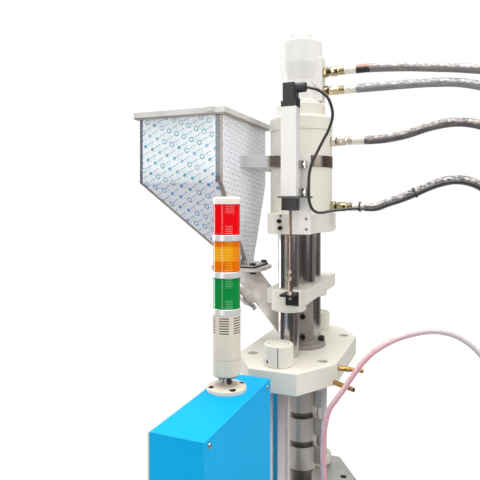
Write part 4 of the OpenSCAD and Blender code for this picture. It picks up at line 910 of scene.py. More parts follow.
class Shape:
    """A mesh under work, to which operators add turned, bevelled and swept forms."""

    merge = 0.001 * MM

    def __init__(self) -> None:
        """Start with an empty mesh."""
        self.mesh = bmesh.new()

    def take(self, part: bmesh.types.BMesh, matrix: Matrix = Matrix.Identity(4),
             slot: int = 0) -> None:
        """Add a form.

        Args:
            part: The form, which is used up.
            matrix: Where it goes.
            slot: The material slot of its faces.
        """
        bmesh.ops.transform(part, matrix=matrix, verts=part.verts)
        for face in part.faces:
            face.material_index = slot if slot else face.material_index
            face.smooth = True
        copy = meshed("part", part)
        self.mesh.from_mesh(copy)
        bpy.data.meshes.remove(copy)

    def turned(self, profile: Sequence[tuple[float, float]], matrix: Matrix = Matrix.Identity(4),
               steps: int = 48, slot: int = 0) -> None:
        """Add a form turned round Z.

        Args:
            profile: Radius and height of each point, from the foot up the outside.
            matrix: Where the form goes.
            steps: Faces round it.
            slot: The material slot of its faces.
        """
        part = bmesh.new()
        points = [part.verts.new((radius, 0.0, height)) for radius, height in profile]
        lines = [part.edges.new(pair) for pair in zip(points, points[1:])]
        bmesh.ops.spin(part, geom=points + lines, cent=(0, 0, 0), axis=(0, 0, 1), dvec=(0, 0, 0),
                       angle=2 * math.pi, steps=steps, use_merge=True)
        bmesh.ops.remove_doubles(part, verts=part.verts, dist=self.merge)
        bmesh.ops.recalc_face_normals(part, faces=part.faces)
        self.take(part, matrix, slot)

    def hexagon(self, across: float, low: float, high: float, matrix: Matrix,
                chamfer: float, slot: int = 0) -> None:
        """Add an upright hexagonal prism with broken edges.

        Args:
            across: Size across its flats.
            low: Height of its foot.
            high: Height of its top.
            matrix: Where it goes.
            chamfer: Width of the broken edges.
            slot: The material slot of its faces.
        """
        part = bmesh.new()
        radius = across / 2 / math.cos(math.pi / 6)
        bmesh.ops.create_cone(part, cap_ends=True, cap_tris=False, segments=6, radius1=radius,
                              radius2=radius, depth=high - low,
                              matrix=Matrix.Translation((0, 0, (low + high) / 2)))
        bevelled(part, part.edges[:], chamfer, 2)
        self.take(part, matrix, slot)

    def block(self, low: Sequence[float], high: Sequence[float],
              matrix: Matrix = Matrix.Identity(4), radius: float = 0.6 * MM, slot: int = 0) -> None:
        """Add a block with rounded edges.

        Args:
            low: Its lowest corner.
            high: Its highest corner.
            matrix: Where it goes.
            radius: Radius of its edges.
            slot: The material slot of its faces.
        """
        part = bmesh.new()
        size = Vector(high) - Vector(low)
        middle = (Vector(high) + Vector(low)) / 2
        bmesh.ops.create_cube(part, size=1.0,
                              matrix=Matrix.Translation(middle) @ Matrix.Diagonal((*size, 1.0)))
        bevelled(part, part.edges[:], radius, 3)
        self.take(part, matrix, slot)

    def tube(self, path: Sequence[Vector], radius: float, sides: int = 16) -> None:
        """Sweep a circle along a path, with a map of turns and metres for its cover.

        Args:
            path: Points of the centre line.
            radius: The tube's radius.
            sides: Faces round it.
        """
        part = bmesh.new()
        number = part.verts.layers.int.new("number")
        station = part.verts.layers.int.new("station")
        tangents = [(after - before).normalized()
                    for before, after in zip([path[0], *path], [*path[1:], path[-1]])]
        up = Vector((0, 1, 0)) if abs(tangents[0].y) < 0.9 else Vector((1, 0, 0))
        side = (up - tangents[0] * up.dot(tangents[0])).normalized()
        travelled, seat, edges = [0.0], Matrix.Identity(4), []
        for i, (point, tangent) in enumerate(zip(path, tangents)):
            side = (side - tangent * side.dot(tangent)).normalized()
            turn = Matrix((side, tangent.cross(side), tangent)).transposed().to_4x4()
            last, seat = seat, Matrix.Translation(point) @ turn
            if not i:
                ring = bmesh.ops.create_circle(part, cap_ends=True, radius=radius, segments=sides,
                                               matrix=seat)["verts"]
                for k, vertex in enumerate(ring):
                    vertex[number] = k
                edges = part.edges[:]
                continue
            travelled.append(travelled[-1] + (point - path[i - 1]).length)
            ring, edges = grown(part, edges)
            bmesh.ops.transform(part, matrix=seat @ last.inverted(), verts=ring)
            for vertex in ring:
                vertex[station] = i
        bmesh.ops.holes_fill(part, edges=edges, sides=sides)
        bmesh.ops.recalc_face_normals(part, faces=part.faces)
        self.sleeve_map(part, travelled, sides)
        for layer in (part.verts.layers.int["number"], part.verts.layers.int["station"]):
            part.verts.layers.int.remove(layer)
        self.take(part)

    @staticmethod
    def sleeve_map(part: bmesh.types.BMesh, travelled: Sequence[float], sides: int) -> None:
        """Write a tube's map: turns round it, and metres along it.

        Args:
            part: The tube, whose points know their number and station.
            travelled: The way to each station.
            sides: Faces round it.
        """
        layer = part.loops.layers.uv.new("Sleeve")
        number, station = part.verts.layers.int["number"], part.verts.layers.int["station"]
        for face in part.faces:
            marks = [loop.vert[number] for loop in face.loops]
            wraps = max(marks) - min(marks) > sides / 2
            for loop, mark in zip(face.loops, marks):
                turn = (mark or sides if wraps else mark) / sides
                loop[layer].uv = (turn, travelled[loop.vert[station]])

    def piece(self, name: str, body: str, finishes: Sequence[Finish], replaces: Sequence[str] = (),
              slot: Optional[str] = None, sharp: float = 32) -> bpy.types.Object:
        """Turn the shape into a piece of the machine.

        Args:
            name: The piece's name.
            body: The body that it rides on.
            finishes: The finish of each material slot.
            replaces: The CAD nodes that it stands for.
            slot: The record's slot for its finish; not used.
            sharp: Edges that turn by more than this stay sharp.

        Returns:
            The piece.
        """
        for edge in self.mesh.edges:
            if edge.is_manifold and edge.calc_face_angle() > math.radians(sharp):
                edge.smooth = False
        mesh = meshed(name, self.mesh, *(finish.material() for finish in finishes))
        piece = shown(name, mesh)
        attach(piece, body)
        if replaces:
            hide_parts(*replaces)
        LOG.info("%s: %d faces on %s", name, len(mesh.polygons), body)
        return piece


def aim(point: Sequence[float], direction: Sequence[float], turn: float = 0.0) -> Matrix:
    """Return the matrix that takes Z to a direction at a point.

    Args:
        point: Where the form's foot goes.
        direction: Where its Z axis goes.
        turn: Degrees about that axis first.

    Returns:
        The matrix.
    """
    track = Vector(direction).to_track_quat("Z", "Y").to_matrix().to_4x4()
    return Matrix.Translation(Vector(point)) @ track @ about_z(turn)


def rounded(points: Sequence[Sequence[float]], steps: int = 6) -> list[Vector]:
    """Return a smooth path through points.

    Args:
        points: The points.
        steps: Steps from one to the next.

    Returns:
        The path's points.
    """
    knots = [Vector(point) for point in points]
    knots = [2 * knots[0] - knots[1], *knots, 2 * knots[-1] - knots[-2]]
    path = []
    for before, start, end, after in zip(knots, knots[1:], knots[2:], knots[3:]):
        for k in range(steps):
            t = k / steps
            path.append(0.5 * (2 * start + (end - before) * t
                               + (2 * before - 5 * start + 4 * end - after) * t * t
                               + (3 * start - before - 3 * end + after) * t ** 3))
    return [*path, knots[-2]]


CREAM = Enamel("cream_enamel", srgb(230, 226, 214), srgb(243, 241, 233), gloss=0.2)
OFF_WHITE = Enamel("motor_enamel", srgb(233, 231, 225), srgb(246, 245, 241), roughness=0.34)
BLUE = Enamel("blue_enamel", srgb(20, 136, 214), srgb(96, 190, 240), 0.42, 0.25)
SKY = Enamel("sky_enamel", srgb(0, 174, 234), srgb(110, 214, 250), 0.42, 0.08)
SLATE = Enamel("grey_enamel", srgb(92, 98, 102), srgb(140, 145, 148), 0.42)
PLATE_WHITE = Enamel("white_plate", srgb(250, 247, 241), srgb(253, 252, 250), 0.36)
PANEL_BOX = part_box("control_panel")
PANEL = PanelFace("panel_face", srgb(196, 200, 203), srgb(24, 30, 36), srgb(92, 98, 104),
                  (PANEL_BOX[0].y, HEAD_TOP), PANEL_BOX[1].y - PANEL_BOX[0].y)
CHROME_BAR = Metal("chromed_bar", srgb(214, 211, 211), srgb(176, 171, 172), Grain.TURNED, 0.19,
                   0.0004 * MM, stain=0.2)
COLUMN = replace(CHROME_BAR, name="column_steel", paint=srgb(228, 225, 211),
                 painted_above=HEAD_TOP + 1 * MM)
GROUND = Metal("ground_steel", srgb(186, 185, 182), srgb(150, 148, 144), Grain.GROUND_Y, 0.4)
POLISHED = Metal("polished_steel", srgb(214, 211, 207), srgb(166, 160, 154), Grain.TURNED, 0.2)
ROD_STEEL = Metal("sensor_rod_steel", srgb(184, 168, 156), srgb(120, 106, 96), Grain.TURNED, 0.22,
                  stain=0.6, metallic=0.9)
COVER_STEEL = Metal("cover_steel", srgb(214, 208, 204), srgb(150, 142, 136), Grain.EVEN, 0.26,
                    0.0005 * MM)
NITRIDED = Metal("nitrided_steel", srgb(120, 117, 113), srgb(84, 80, 76), Grain.TURNED, 0.36)
SHEET = Metal("sheet_steel", srgb(196, 192, 186), srgb(160, 156, 150), Grain.DRAWN, 0.3)
LID_SHEET = Metal("lid_sheet", srgb(230, 229, 227), srgb(190, 186, 180), Grain.DRAWN, 0.38,
                  stain=0.5, metallic=0.3)
RIM_SHEET = Metal("rim_sheet", srgb(182, 174, 166), srgb(132, 122, 112), Grain.DRAWN, 0.34,
                  stain=0.5, metallic=0.4)
ANODISED = Metal("anodised_aluminium", srgb(238, 236, 233), srgb(224, 222, 220), Grain.DRAWN, 0.46,
                 stain=0.15, metallic=0.2)
# The strap's end towards low X is painted pale, as painted light.
STRAP_METAL = Metal("strap_metal", srgb(172, 160, 146), srgb(112, 102, 92), Grain.GROUND_X, 0.24,
                    stain=0.6, bright=srgb(232, 232, 234), bright_below=-45 * MM)
GOLD_ZINC = Metal("yellow_zinc", srgb(222, 207, 164), srgb(104, 84, 46), Grain.TURNED, 0.12,
                  stain=0.7)
CLEAR_ZINC = Metal("clear_zinc", srgb(236, 227, 216), srgb(168, 142, 122), Grain.TURNED, 0.2,
                   stain=0.8, metallic=0.8)
PALE_ZINC = Metal("pale_zinc", srgb(242, 238, 228), srgb(206, 198, 180), Grain.TURNED, 0.34,
                  metallic=0.45)
BRASS = Metal("turned_brass", srgb(206, 168, 98), srgb(120, 84, 44), Grain.EVEN, 0.18, stain=0.7)
BRIGHT_RING = Metal("plated_ring", srgb(240, 236, 234), srgb(196, 192, 194), Grain.TURNED, 0.34,
                    stain=0.1, metallic=0.3)
CAST_GREY = Casting("cast_grey", srgb(240, 232, 227), srgb(190, 179, 173), srgb(247, 243, 239),
                    srgb(126, 116, 108))
BLACK_OXIDE = Moulded("black_oxide", srgb(36, 34, 33), srgb(84, 80, 78), 0.36, gloss=0.3)
RUBBER = Moulded("black_rubber", srgb(32, 31, 31), srgb(66, 64, 62), 0.6)
# A near-black matte disc inside each lip ring of the tower's base stands for the shade of a well:
# painted shade.
WELL_SHADE = Moulded("well_painted_shade", srgb(20, 18, 17), srgb(34, 32, 30), 0.7, gloss=0.1)
NYLON = Moulded("black_nylon", srgb(34, 34, 37), srgb(92, 94, 100), 0.42)
CAP_PLASTIC = Moulded("cap_plastic", srgb(240, 231, 220), srgb(248, 243, 236), 0.36, edge=1.2 * MM)
LINEN = Moulded("linen_plastic", srgb(226, 213, 192), srgb(241, 233, 218), 0.36, edge=1.2 * MM)
STOP_RED = Moulded("red_plastic", srgb(190, 22, 26), srgb(214, 70, 66), 0.25)
SLEEVE_DARK = Sleeve("hose_cover", srgb(80, 75, 78), srgb(160, 149, 144), srgb(224, 214, 206),
                     0.26, 0.6, 0.9)
SLEEVE_PALE = Sleeve("second_hose_cover", srgb(126, 122, 125), srgb(182, 178, 176),
                     srgb(242, 240, 238), 0.26, 0.7, 0.9)
SLEEVE_FIRST = Sleeve("first_hose_cover", srgb(120, 113, 114), srgb(166, 156, 151),
                      srgb(236, 232, 228), 0.26, 0.6, 0.9, srgb(164, 108, 70))
# The fourth hose's pale band is a painted highlight on its upper side.
SLEEVE_LAST = Sleeve("fourth_hose_cover", srgb(56, 52, 54), srgb(104, 97, 95),
                     srgb(240, 234, 230), 0.2, 0.55, 0.85, srgb(214, 208, 204), 0.045)
SLEEVE_PINK = Sleeve("water_hose_cover", srgb(216, 156, 163), srgb(232, 192, 196),
                     srgb(248, 232, 231), 0.3, 0.5, 0.6, far=srgb(200, 190, 194), fade=(0.36, 0.6))
SLEEVE_BLACK = Sleeve("cable_cover", srgb(34, 33, 34), srgb(96, 94, 92), srgb(150, 148, 146),
                      0.25, 0.3, 0.3)
FRONT_FILM = Film(
    "front_film", srgb(245, 250, 253), (srgb(24, 160, 180), srgb(70, 164, 208)),
    (34 * MM, 15 * MM), 28, 2.2 * MM, 0.9, (0.0, 5 * MM), srgb(168, 156, 144),
    strips=(9 * MM, 11 * MM), small=0.6)
# The taper's film is the front film's print in darker colours: painted shade on the downward-facing
# taper.
CONE_FILM = Film(
    "taper_film", srgb(224, 225, 231), (srgb(24, 124, 178), srgb(60, 132, 196)),
    (34 * MM, 15 * MM), 28, 2.3 * MM, 0.95, (10 * MM, 11 * MM), srgb(112, 99, 86), small=0.6)
SIDE_FILM = Film(
    "side_film", srgb(251, 252, 255), (srgb(120, 146, 200), srgb(158, 172, 208)),
    (19 * MM, 11 * MM), -6, 1.6 * MM, 0.7, (2 * MM, 3 * MM), srgb(178, 170, 160), small=0.4)


def hang(start: Sequence[float], end: Sequence[float], count: int, bow: float) -> list[Triple]:
    """Return a run of a cord from a point down to another, which it enters straight.

    Args:
        start: Where the run starts, which isn't in the result.
        end: Where it ends.
        count: Number of points.
        bow: How far it bows out sideways.

    Returns:
        The run's points.
    """
    run = []
    for k in range(1, count + 1):
        t = k / count
        ease = (1 - math.cos(math.pi * t)) / 2
        side = bow * (1 - math.cos(2 * math.pi * t)) / 2
        run.append((start[0] + (end[0] - start[0]) * ease,
                    start[1] + (end[1] - start[1]) * ease + side,
                    start[2] + (end[2] - start[2]) * t))
    return run


def raised(points: Sequence[Triple]) -> list[Triple]:
    """Return points whose heights were above the head platen."""
    return [(x, y, z + HEAD_TOP) for x, y, z in points]


@dataclass(frozen=True)
class HoseRoute:
    """One hydraulic hose, from its port on the injection unit to the valve manifold.

    The port is given by its X and by its height above the head platen. The lead is the way on from
    there, with heights above the head platen too.
    """

    port: tuple[float, float]
    outlet_x: float
    lead: tuple[Triple, ...]
    bow: float
    length: float
    cover: Finish
    plating: int = 0
    fitting: float = 76 * MM
    straight: float = 24 * MM
    outlet_z: float = 110 * MM
    diameter: float = 19.5 * MM
    steps: int = 12

    @property
    def start(self) -> Triple:
        """Return the end of the upper fitting."""
        return (self.port[0] + self.fitting, 0.0, HEAD_TOP + self.port[1])

    def points(self) -> list[Triple]:
        """Lay the route out.

        Returns:
            The points of its centre line.
        """
        start = self.start
        lead = raised(self.lead)
        out = (self.outlet_x, 0.0, DECK + self.outlet_z + self.fitting)
        above = (out[0], 0.0, out[2] + 2 * self.straight)
        return [start, (start[0] + self.straight, 0.0, start[2]), *lead,
                *hang(lead[-1], above, self.steps, self.bow), out]


class EndSlot(IntEnum):
    """Material slots of the hose ends."""

    GOLD = 0
    CRIMP = 1
    RING = 2
    CLEAR = 3


@dataclass(frozen=True)
class Hoses:
    """The four hydraulic hoses, the water hose and the sensor cable, with the hose ends."""

    routes: tuple[HoseRoute, ...] = (
        HoseRoute((0.054, 0.637), 0.600, (
            (0.190, 0, 0.635), (0.240, 0, 0.631), (0.290, 0, 0.625), (0.350, 0, 0.617),
            (0.415, 0, 0.604), (0.475, 0, 0.580), (0.527, -0.001, 0.542), (0.566, -0.002, 0.491),
            (0.590, -0.004, 0.431), (0.601, -0.006, 0.363), (0.604, -0.008, 0.290)),
                  -0.008, 1.727, SLEEVE_FIRST),
        HoseRoute((0.054, 0.593), 0.540, (
            (0.190, 0, 0.593), (0.240, 0, 0.593), (0.290, 0, 0.592), (0.345, 0, 0.587),
            (0.397, 0.001, 0.573), (0.445, 0.002, 0.549), (0.486, 0.004, 0.516),
            (0.516, 0.006, 0.473), (0.534, 0.008, 0.423), (0.542, 0.010, 0.365),
            (0.545, 0.012, 0.295)), 0.008, 1.655, SLEEVE_PALE),
        HoseRoute((0.072, 0.475), 0.480, (
            (0.200, 0, 0.477), (0.240, 0, 0.484), (0.284, 0, 0.497), (0.331, 0, 0.504),
            (0.372, -0.002, 0.499), (0.410, -0.004, 0.483), (0.442, -0.006, 0.456),
            (0.464, -0.008, 0.422), (0.478, -0.010, 0.382), (0.485, -0.012, 0.335),
            (0.488, -0.013, 0.275)), -0.006, 1.526, SLEEVE_DARK, EndSlot.CLEAR),
        HoseRoute((0.072, 0.3245), 0.420, (
            (0.198, 0, 0.334), (0.225, 0, 0.343), (0.254, 0, 0.355), (0.284, 0, 0.369),
            (0.307, 0, 0.377), (0.332, 0, 0.382), (0.357, 0, 0.380), (0.381, 0.002, 0.371),
            (0.402, 0.004, 0.355), (0.417, 0.006, 0.332), (0.426, 0.008, 0.303),
            (0.430, 0.010, 0.270), (0.432, 0.012, 0.220)), 0.006, 1.383, SLEEVE_LAST),
    )
    elbow: Triple = (0.1007, -0.1777, 1.244)
    water_lead: tuple[Triple, ...] = (
        (0.1007, -0.1787, -0.285), (0.0997, -0.1807, -0.245), (0.098, -0.183, -0.205),
        (0.096, -0.184, -0.165), (0.097, -0.182, -0.130), (0.100, -0.179, -0.100),
        (0.107, -0.175, -0.073), (0.118, -0.171, -0.056), (0.131, -0.166, -0.037),
        (0.144, -0.160, -0.016), (0.157, -0.155, 0.004), (0.172, -0.149, 0.024),
        (0.195, -0.139, 0.045), (0.234, -0.124, 0.067), (0.285, -0.108, 0.081),
        (0.325, -0.100, 0.079), (0.360, -0.098, 0.063), (0.388, -0.100, 0.035),
        (0.408, -0.106, -0.002), (0.420, -0.114, -0.047), (0.426, -0.122, -0.100))
    water_end: tuple[float, float] = (0.430, -0.160)
    water_end_height: float = 44 * MM
    water_diameter: float = 11 * MM
    water_length: float = 1.581
    water_steps: int = 10
    cable_exit: Triple = (0.050, -0.175, 2.151)
    cable_start: float = 10 * MM
    cable_lead: tuple[Triple, ...] = (
        (0.070, -0.174, 0.563), (0.081, -0.170, 0.560), (0.090, -0.163, 0.554),
        (0.099, -0.155, 0.545), (0.104, -0.148, 0.531), (0.106, -0.142, 0.515),
        (0.103, -0.138, 0.500), (0.095, -0.136, 0.480), (0.086, -0.139, 0.462),
        (0.078, -0.144, 0.444), (0.071, -0.150, 0.427), (0.065, -0.155, 0.410),
        (0.061, -0.157, 0.390), (0.060, -0.157, 0.369), (0.060, -0.157, 0.349),
        (0.062, -0.156, 0.333), (0.067, -0.152, 0.320), (0.074, -0.143, 0.314),
        (0.081, -0.131, 0.313), (0.089, -0.112, 0.315), (0.097, -0.086, 0.317),
        (0.106, -0.060, 0.318), (0.111, -0.040, 0.319), (0.119, -0.023, 0.320),
        (0.131, -0.0145, 0.3205), (0.150, -0.0136, 0.3205))
    cable_beside: Triple = (0.0, -0.0134, -0.004)
    cable_tail: tuple[Triple, ...] = (
        (0.420, -0.020, 0.205), (0.420, -0.034, 0.168), (0.420, -0.054, 0.136),
        (0.420, -0.074, 0.104), (0.420, -0.086, 0.068), (0.420, -0.088, 0.030),
        (0.420, -0.088, 0.009))
    cable_diameter: float = 6 * MM
    cable_length: float = 2.049
    port_turn: float = 17
    outlet_turn: float = 11
    nut_turn: float = 14
    crimps: int = 5

    def build(self) -> None:
        """Make the cords and then their fittings."""
        for number, route in enumerate(self.routes, 1):
            self.cord(f"hose_{number}", f"hydraulic_hose_{number}", route.points(),
                      route.diameter, route.length, route.cover, "stiff")
        self.water()
        self.cable()
        self.ends()

    @staticmethod
    def cord(name: str, node: str, points: Sequence[Sequence[float]], diameter: float,
             length: float, cover: Finish, stiffness: str) -> None:
        """Make one cord.

        Args:
            name: The piece's name.
            node: The CAD node that it stands for.
            points: Its route.
            diameter: Its diameter.
            length: Its real length; not used.
            cover: Its finish.
            stiffness: How stiff it is; not used.
        """
        path = rounded(points)
        shape = Shape()
        shape.tube(path, diameter / 2)
        piece = shape.piece(name, "machine", [cover], [node], node)
        measured = sum((b - a).length for a, b in zip(path, path[1:]))
        LOG.info("%s measures %.3f m", name, measured)

    def water(self) -> None:
        """Make the water hose."""
        straight = HoseRoute.straight
        x, y, z = self.elbow
        lead = raised(self.water_lead)
        end = (*self.water_end, DECK + self.water_end_height)
        above = (*self.water_end, end[2] + straight)
        points = [self.elbow, (x, y, z + straight), *lead,
                  *hang(lead[-1], above, self.water_steps, 0.0), end]
        self.cord("water_line", "water_hose", points, self.water_diameter, self.water_length,
                  SLEEVE_PINK, "medium")

    def cable(self) -> None:
        """Make the sensor cable, which runs beside the fourth hose."""
        x, y, z = self.cable_exit
        beside = [Vector(p) + Vector(self.cable_beside) for p in self.routes[3].points()[1:-1]]
        tail = [(x, y, z + DECK) for x, y, z in self.cable_tail]
        points = [self.cable_exit, (x + self.cable_start, y, z), *raised(self.cable_lead),
                  *beside, *tail]
        self.cord("sensor_lead", "sensor_cable", points, self.cable_diameter, self.cable_length,
                  SLEEVE_BLACK, "medium")

    def hose_end(self, shape: Shape, seat: Matrix, plating: int = EndSlot.GOLD) -> None:
        """Add one hose end that points along Z: adapter, nut, collar and crimped ferrule.

        Args:
            shape: The shape that it goes into.
            seat: Its place and direction.
            plating: The material slot of its adapter, nut and collar.
        """
        shape.turned(mm((0, -9), (5.8, -9), (5.8, 0.5)), seat, 24)
        shape.hexagon(22 * MM, 0, 11 * MM, seat, 0.9 * MM, plating)
        shape.turned(mm((5.4, 10.5), (5.4, 14.5)), seat, 24, EndSlot.RING)
        nut = seat @ about_z(self.nut_turn)
        shape.hexagon(19 * MM, 14 * MM, 33.5 * MM, nut, 1.2 * MM, plating)
        shape.turned(mm((7.6, 33), (7.6, 36.5), (9.4, 37), (9.7, 39), (9, 40), (9.7, 41.5), (9, 43),
                        (9.7, 44.5), (9, 46), (9.7, 47.5), (8.6, 49.5)), seat, 40, plating)
        profile = [(8.4, 49), (9.3, 49.6)]
        for k in range(self.crimps):
            low = 50.4 + 5 * k
            profile += [(9.5, low), (9.5, low + 2.8), (9, low + 3.4), (9, low + 4.2)]
        shape.turned(mm(*profile, (9.5, 75.4), (9.2, 76), (8, 76)), seat, 40, EndSlot.CRIMP)

    def ends(self) -> None:
        """Make the eight hose ends."""
        shape = Shape()
        for turn, route in enumerate(self.routes):
            port = (route.port[0], 0, HEAD_TOP + route.port[1])
            outlet = (route.outlet_x, 0, DECK + route.outlet_z)
            self.hose_end(shape, aim(port, (1, 0, 0), self.port_turn * turn), route.plating)
            self.hose_end(shape, aim(outlet, (0, 0, 1), self.outlet_turn * turn))
        shape.piece("hose_ends", "machine", [GOLD_ZINC, PALE_ZINC, BLACK_OXIDE, CLEAR_ZINC],
                    ["hose_fittings"], "hose_fittings")


@dataclass
class SignalTower:
    """The signal tower's lenses, sounder body, rings, cap, base and knob."""

    lip: float = 0.5 * MM
    step: float = 1.2 * MM
    band: float = 2.6 * MM
    shell: float = 0.7 * MM
    pivot_turn: float = -45.0
    pivot_h: float = 18 * MM
    fork_half: float = 5 * MM
    fork_wall: float = 5 * MM
    well_circle: float = 28 * MM
    well_height: float = 8.2 * MM
    well_tilt: float = 0.16
    ribs: int = 12
    axis: tuple[float, float] = field(init=False)
    radius: float = field(init=False)
    foot: Matrix = field(init=False)
    pivot: Matrix = field(init=False)

    def __post_init__(self) -> None:
        """Take the axis, the radius and the foot from the frame."""
        low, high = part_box("lens_red")
        self.axis = ((low.x + high.x) / 2, (low.y + high.y) / 2)
        self.radius = (high.x - low.x) / 2
        self.foot = Matrix.Translation((*self.axis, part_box("light_base")[0].z))
        self.pivot = self.foot @ about_z(self.pivot_turn)

    def build(self) -> None:
        """Make the lenses and dress the rest."""
        colours = {
            "lens_green": (srgb(20, 146, 70), srgb(10, 112, 56), srgb(150, 232, 170), False),
            "lens_amber": (srgb(240, 120, 4), srgb(216, 90, 2), srgb(255, 216, 60), True),
            "lens_red": (srgb(246, 14, 24), srgb(224, 8, 20), srgb(255, 176, 170), False),
        }
        for node, (colour, deep, glint, cells) in colours.items():
            low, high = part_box(node)
            finish = Lens(node + "_finish", colour, deep, glint, self.axis, low.z, high.z, cells)
            self.lens(node, low.z, high.z, finish)
        CAP_PLASTIC.on("light_cap")
        self.base()
        self.nut()
        low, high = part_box("light_body")
        replace(LINEN, name="sounder_plastic", axis=self.axis,
                dark_inside=(high.x - low.x) / 2 - self.shell).on("light_body")
        BRIGHT_RING.on("light_rings")

    def base(self) -> None:
        """Make the domed base with its fork and its four screws, each on a near-black disc that is
        painted shade for its well.
        """
        shape = Shape()
        shape.turned(mm((0, 0), (35.5, 0), (35.5, 5.6), (35, 6.6), (33.6, 7.4), (27, 8.4), (20, 10),
                        (14, 12), (8, 13.4), (0, 13.8)), self.foot, 72)
        for side in (-1, 1):
            low, high = sorted((side * self.fork_half, side * (self.fork_half + self.fork_wall)))
            shape.block((low, -6 * MM, 10 * MM), (high, 6 * MM, self.pivot_h), self.pivot, 1 * MM)
            eye = self.pivot @ aim((low, 0, self.pivot_h), (1, 0, 0))
            shape.turned(mm((2.6, 0), (5.6, 0), (6, 0.4), (6, 4.6), (5.6, 5), (2.6, 5)), eye, 36)
        for k in range(4):
            azimuth = math.radians(45 + 90 * k)
            x, y = math.cos(azimuth), math.sin(azimuth)
            place = (self.well_circle * x, self.well_circle * y, self.well_height)
            well = self.foot @ aim(place, (self.well_tilt * x, self.well_tilt * y, 1.0))
            shape.turned(mm((5.9, -1.5), (6.6, -0.6), (6.7, 0.2), (6.3, 0.4), (5.9, 0.15),
                            (5.9, -1.5)), well, 28)
            # Painted shade: a flat near-black disc fills the lip ring in place of a recess.
            shape.turned(mm((0, 0.12), (6.1, 0.12), (6.1, -1)), well, 28, 1)
            shape.turned(mm((0, 0.6), (1.4, 0.5), (2.3, 0.2), (2.3, -0.5)), well, 20, 2)
        shape.piece("light_foot", "machine", [LINEN, WELL_SHADE, BLACK_OXIDE], ["light_base"],
                    "light_base")

    def nut(self) -> None:
        """Make the pivot screw with its ribbed thumb nut."""
        shape = Shape()
        screw = self.pivot @ aim((-self.fork_half - 7 * MM, 0, self.pivot_h), (1, 0, 0))
        end = 2 * self.fork_half / MM + 12
        shape.turned(mm((0, 0), (2, 0), (2.5, 0.5), (2.5, end + 2), (0, end + 2)), screw, 24)
        shape.turned(mm((2.4, end + 0.2), (3.6, end + 0.2), (4, end + 0.8), (4, end + 5.6),
                        (3.4, end + 6.4), (0, end + 6.8)), screw, 32, 1)
        for k in range(self.ribs):
            rib = screw @ about_z(360 / self.ribs * k)
            shape.block(*mm((3.6, -0.5, end + 1), (4.5, 0.5, end + 5.4)), rib, 0.3 * MM, 1)
        shape.piece("pivot_nut", "machine", [POLISHED, NYLON], ["light_knob"], "light_knob")

    def lens(self, node: str, low: float, high: float, finish: Finish) -> None:
        """Make one lens with a rolled lip at each end.

        Args:
            node: The CAD node that it stands for.
            low: Height of its foot.
            high: Height of its top.
            finish: Its finish.
        """
        r, lip, step, band = self.radius, self.lip, self.step, self.band
        profile = [(0, low), (r - step, low), (r, low + lip), (r, low + band),
                   (r - lip, low + band + lip), (r - lip, high - band - lip), (r, high - band),
                   (r, high - lip), (r - step, high), (0, high)]
        shape = Shape()
        shape.turned(profile, Matrix.Translation((*self.axis, 0)), 96)
        shape.piece(node + "_glass", "light", [finish], [node], node)


class FilmSlot(IntEnum):
    """Material slots of the hopper."""

    FRONT = 0
    CONE = 1
    SIDE = 2
    RIM = 3


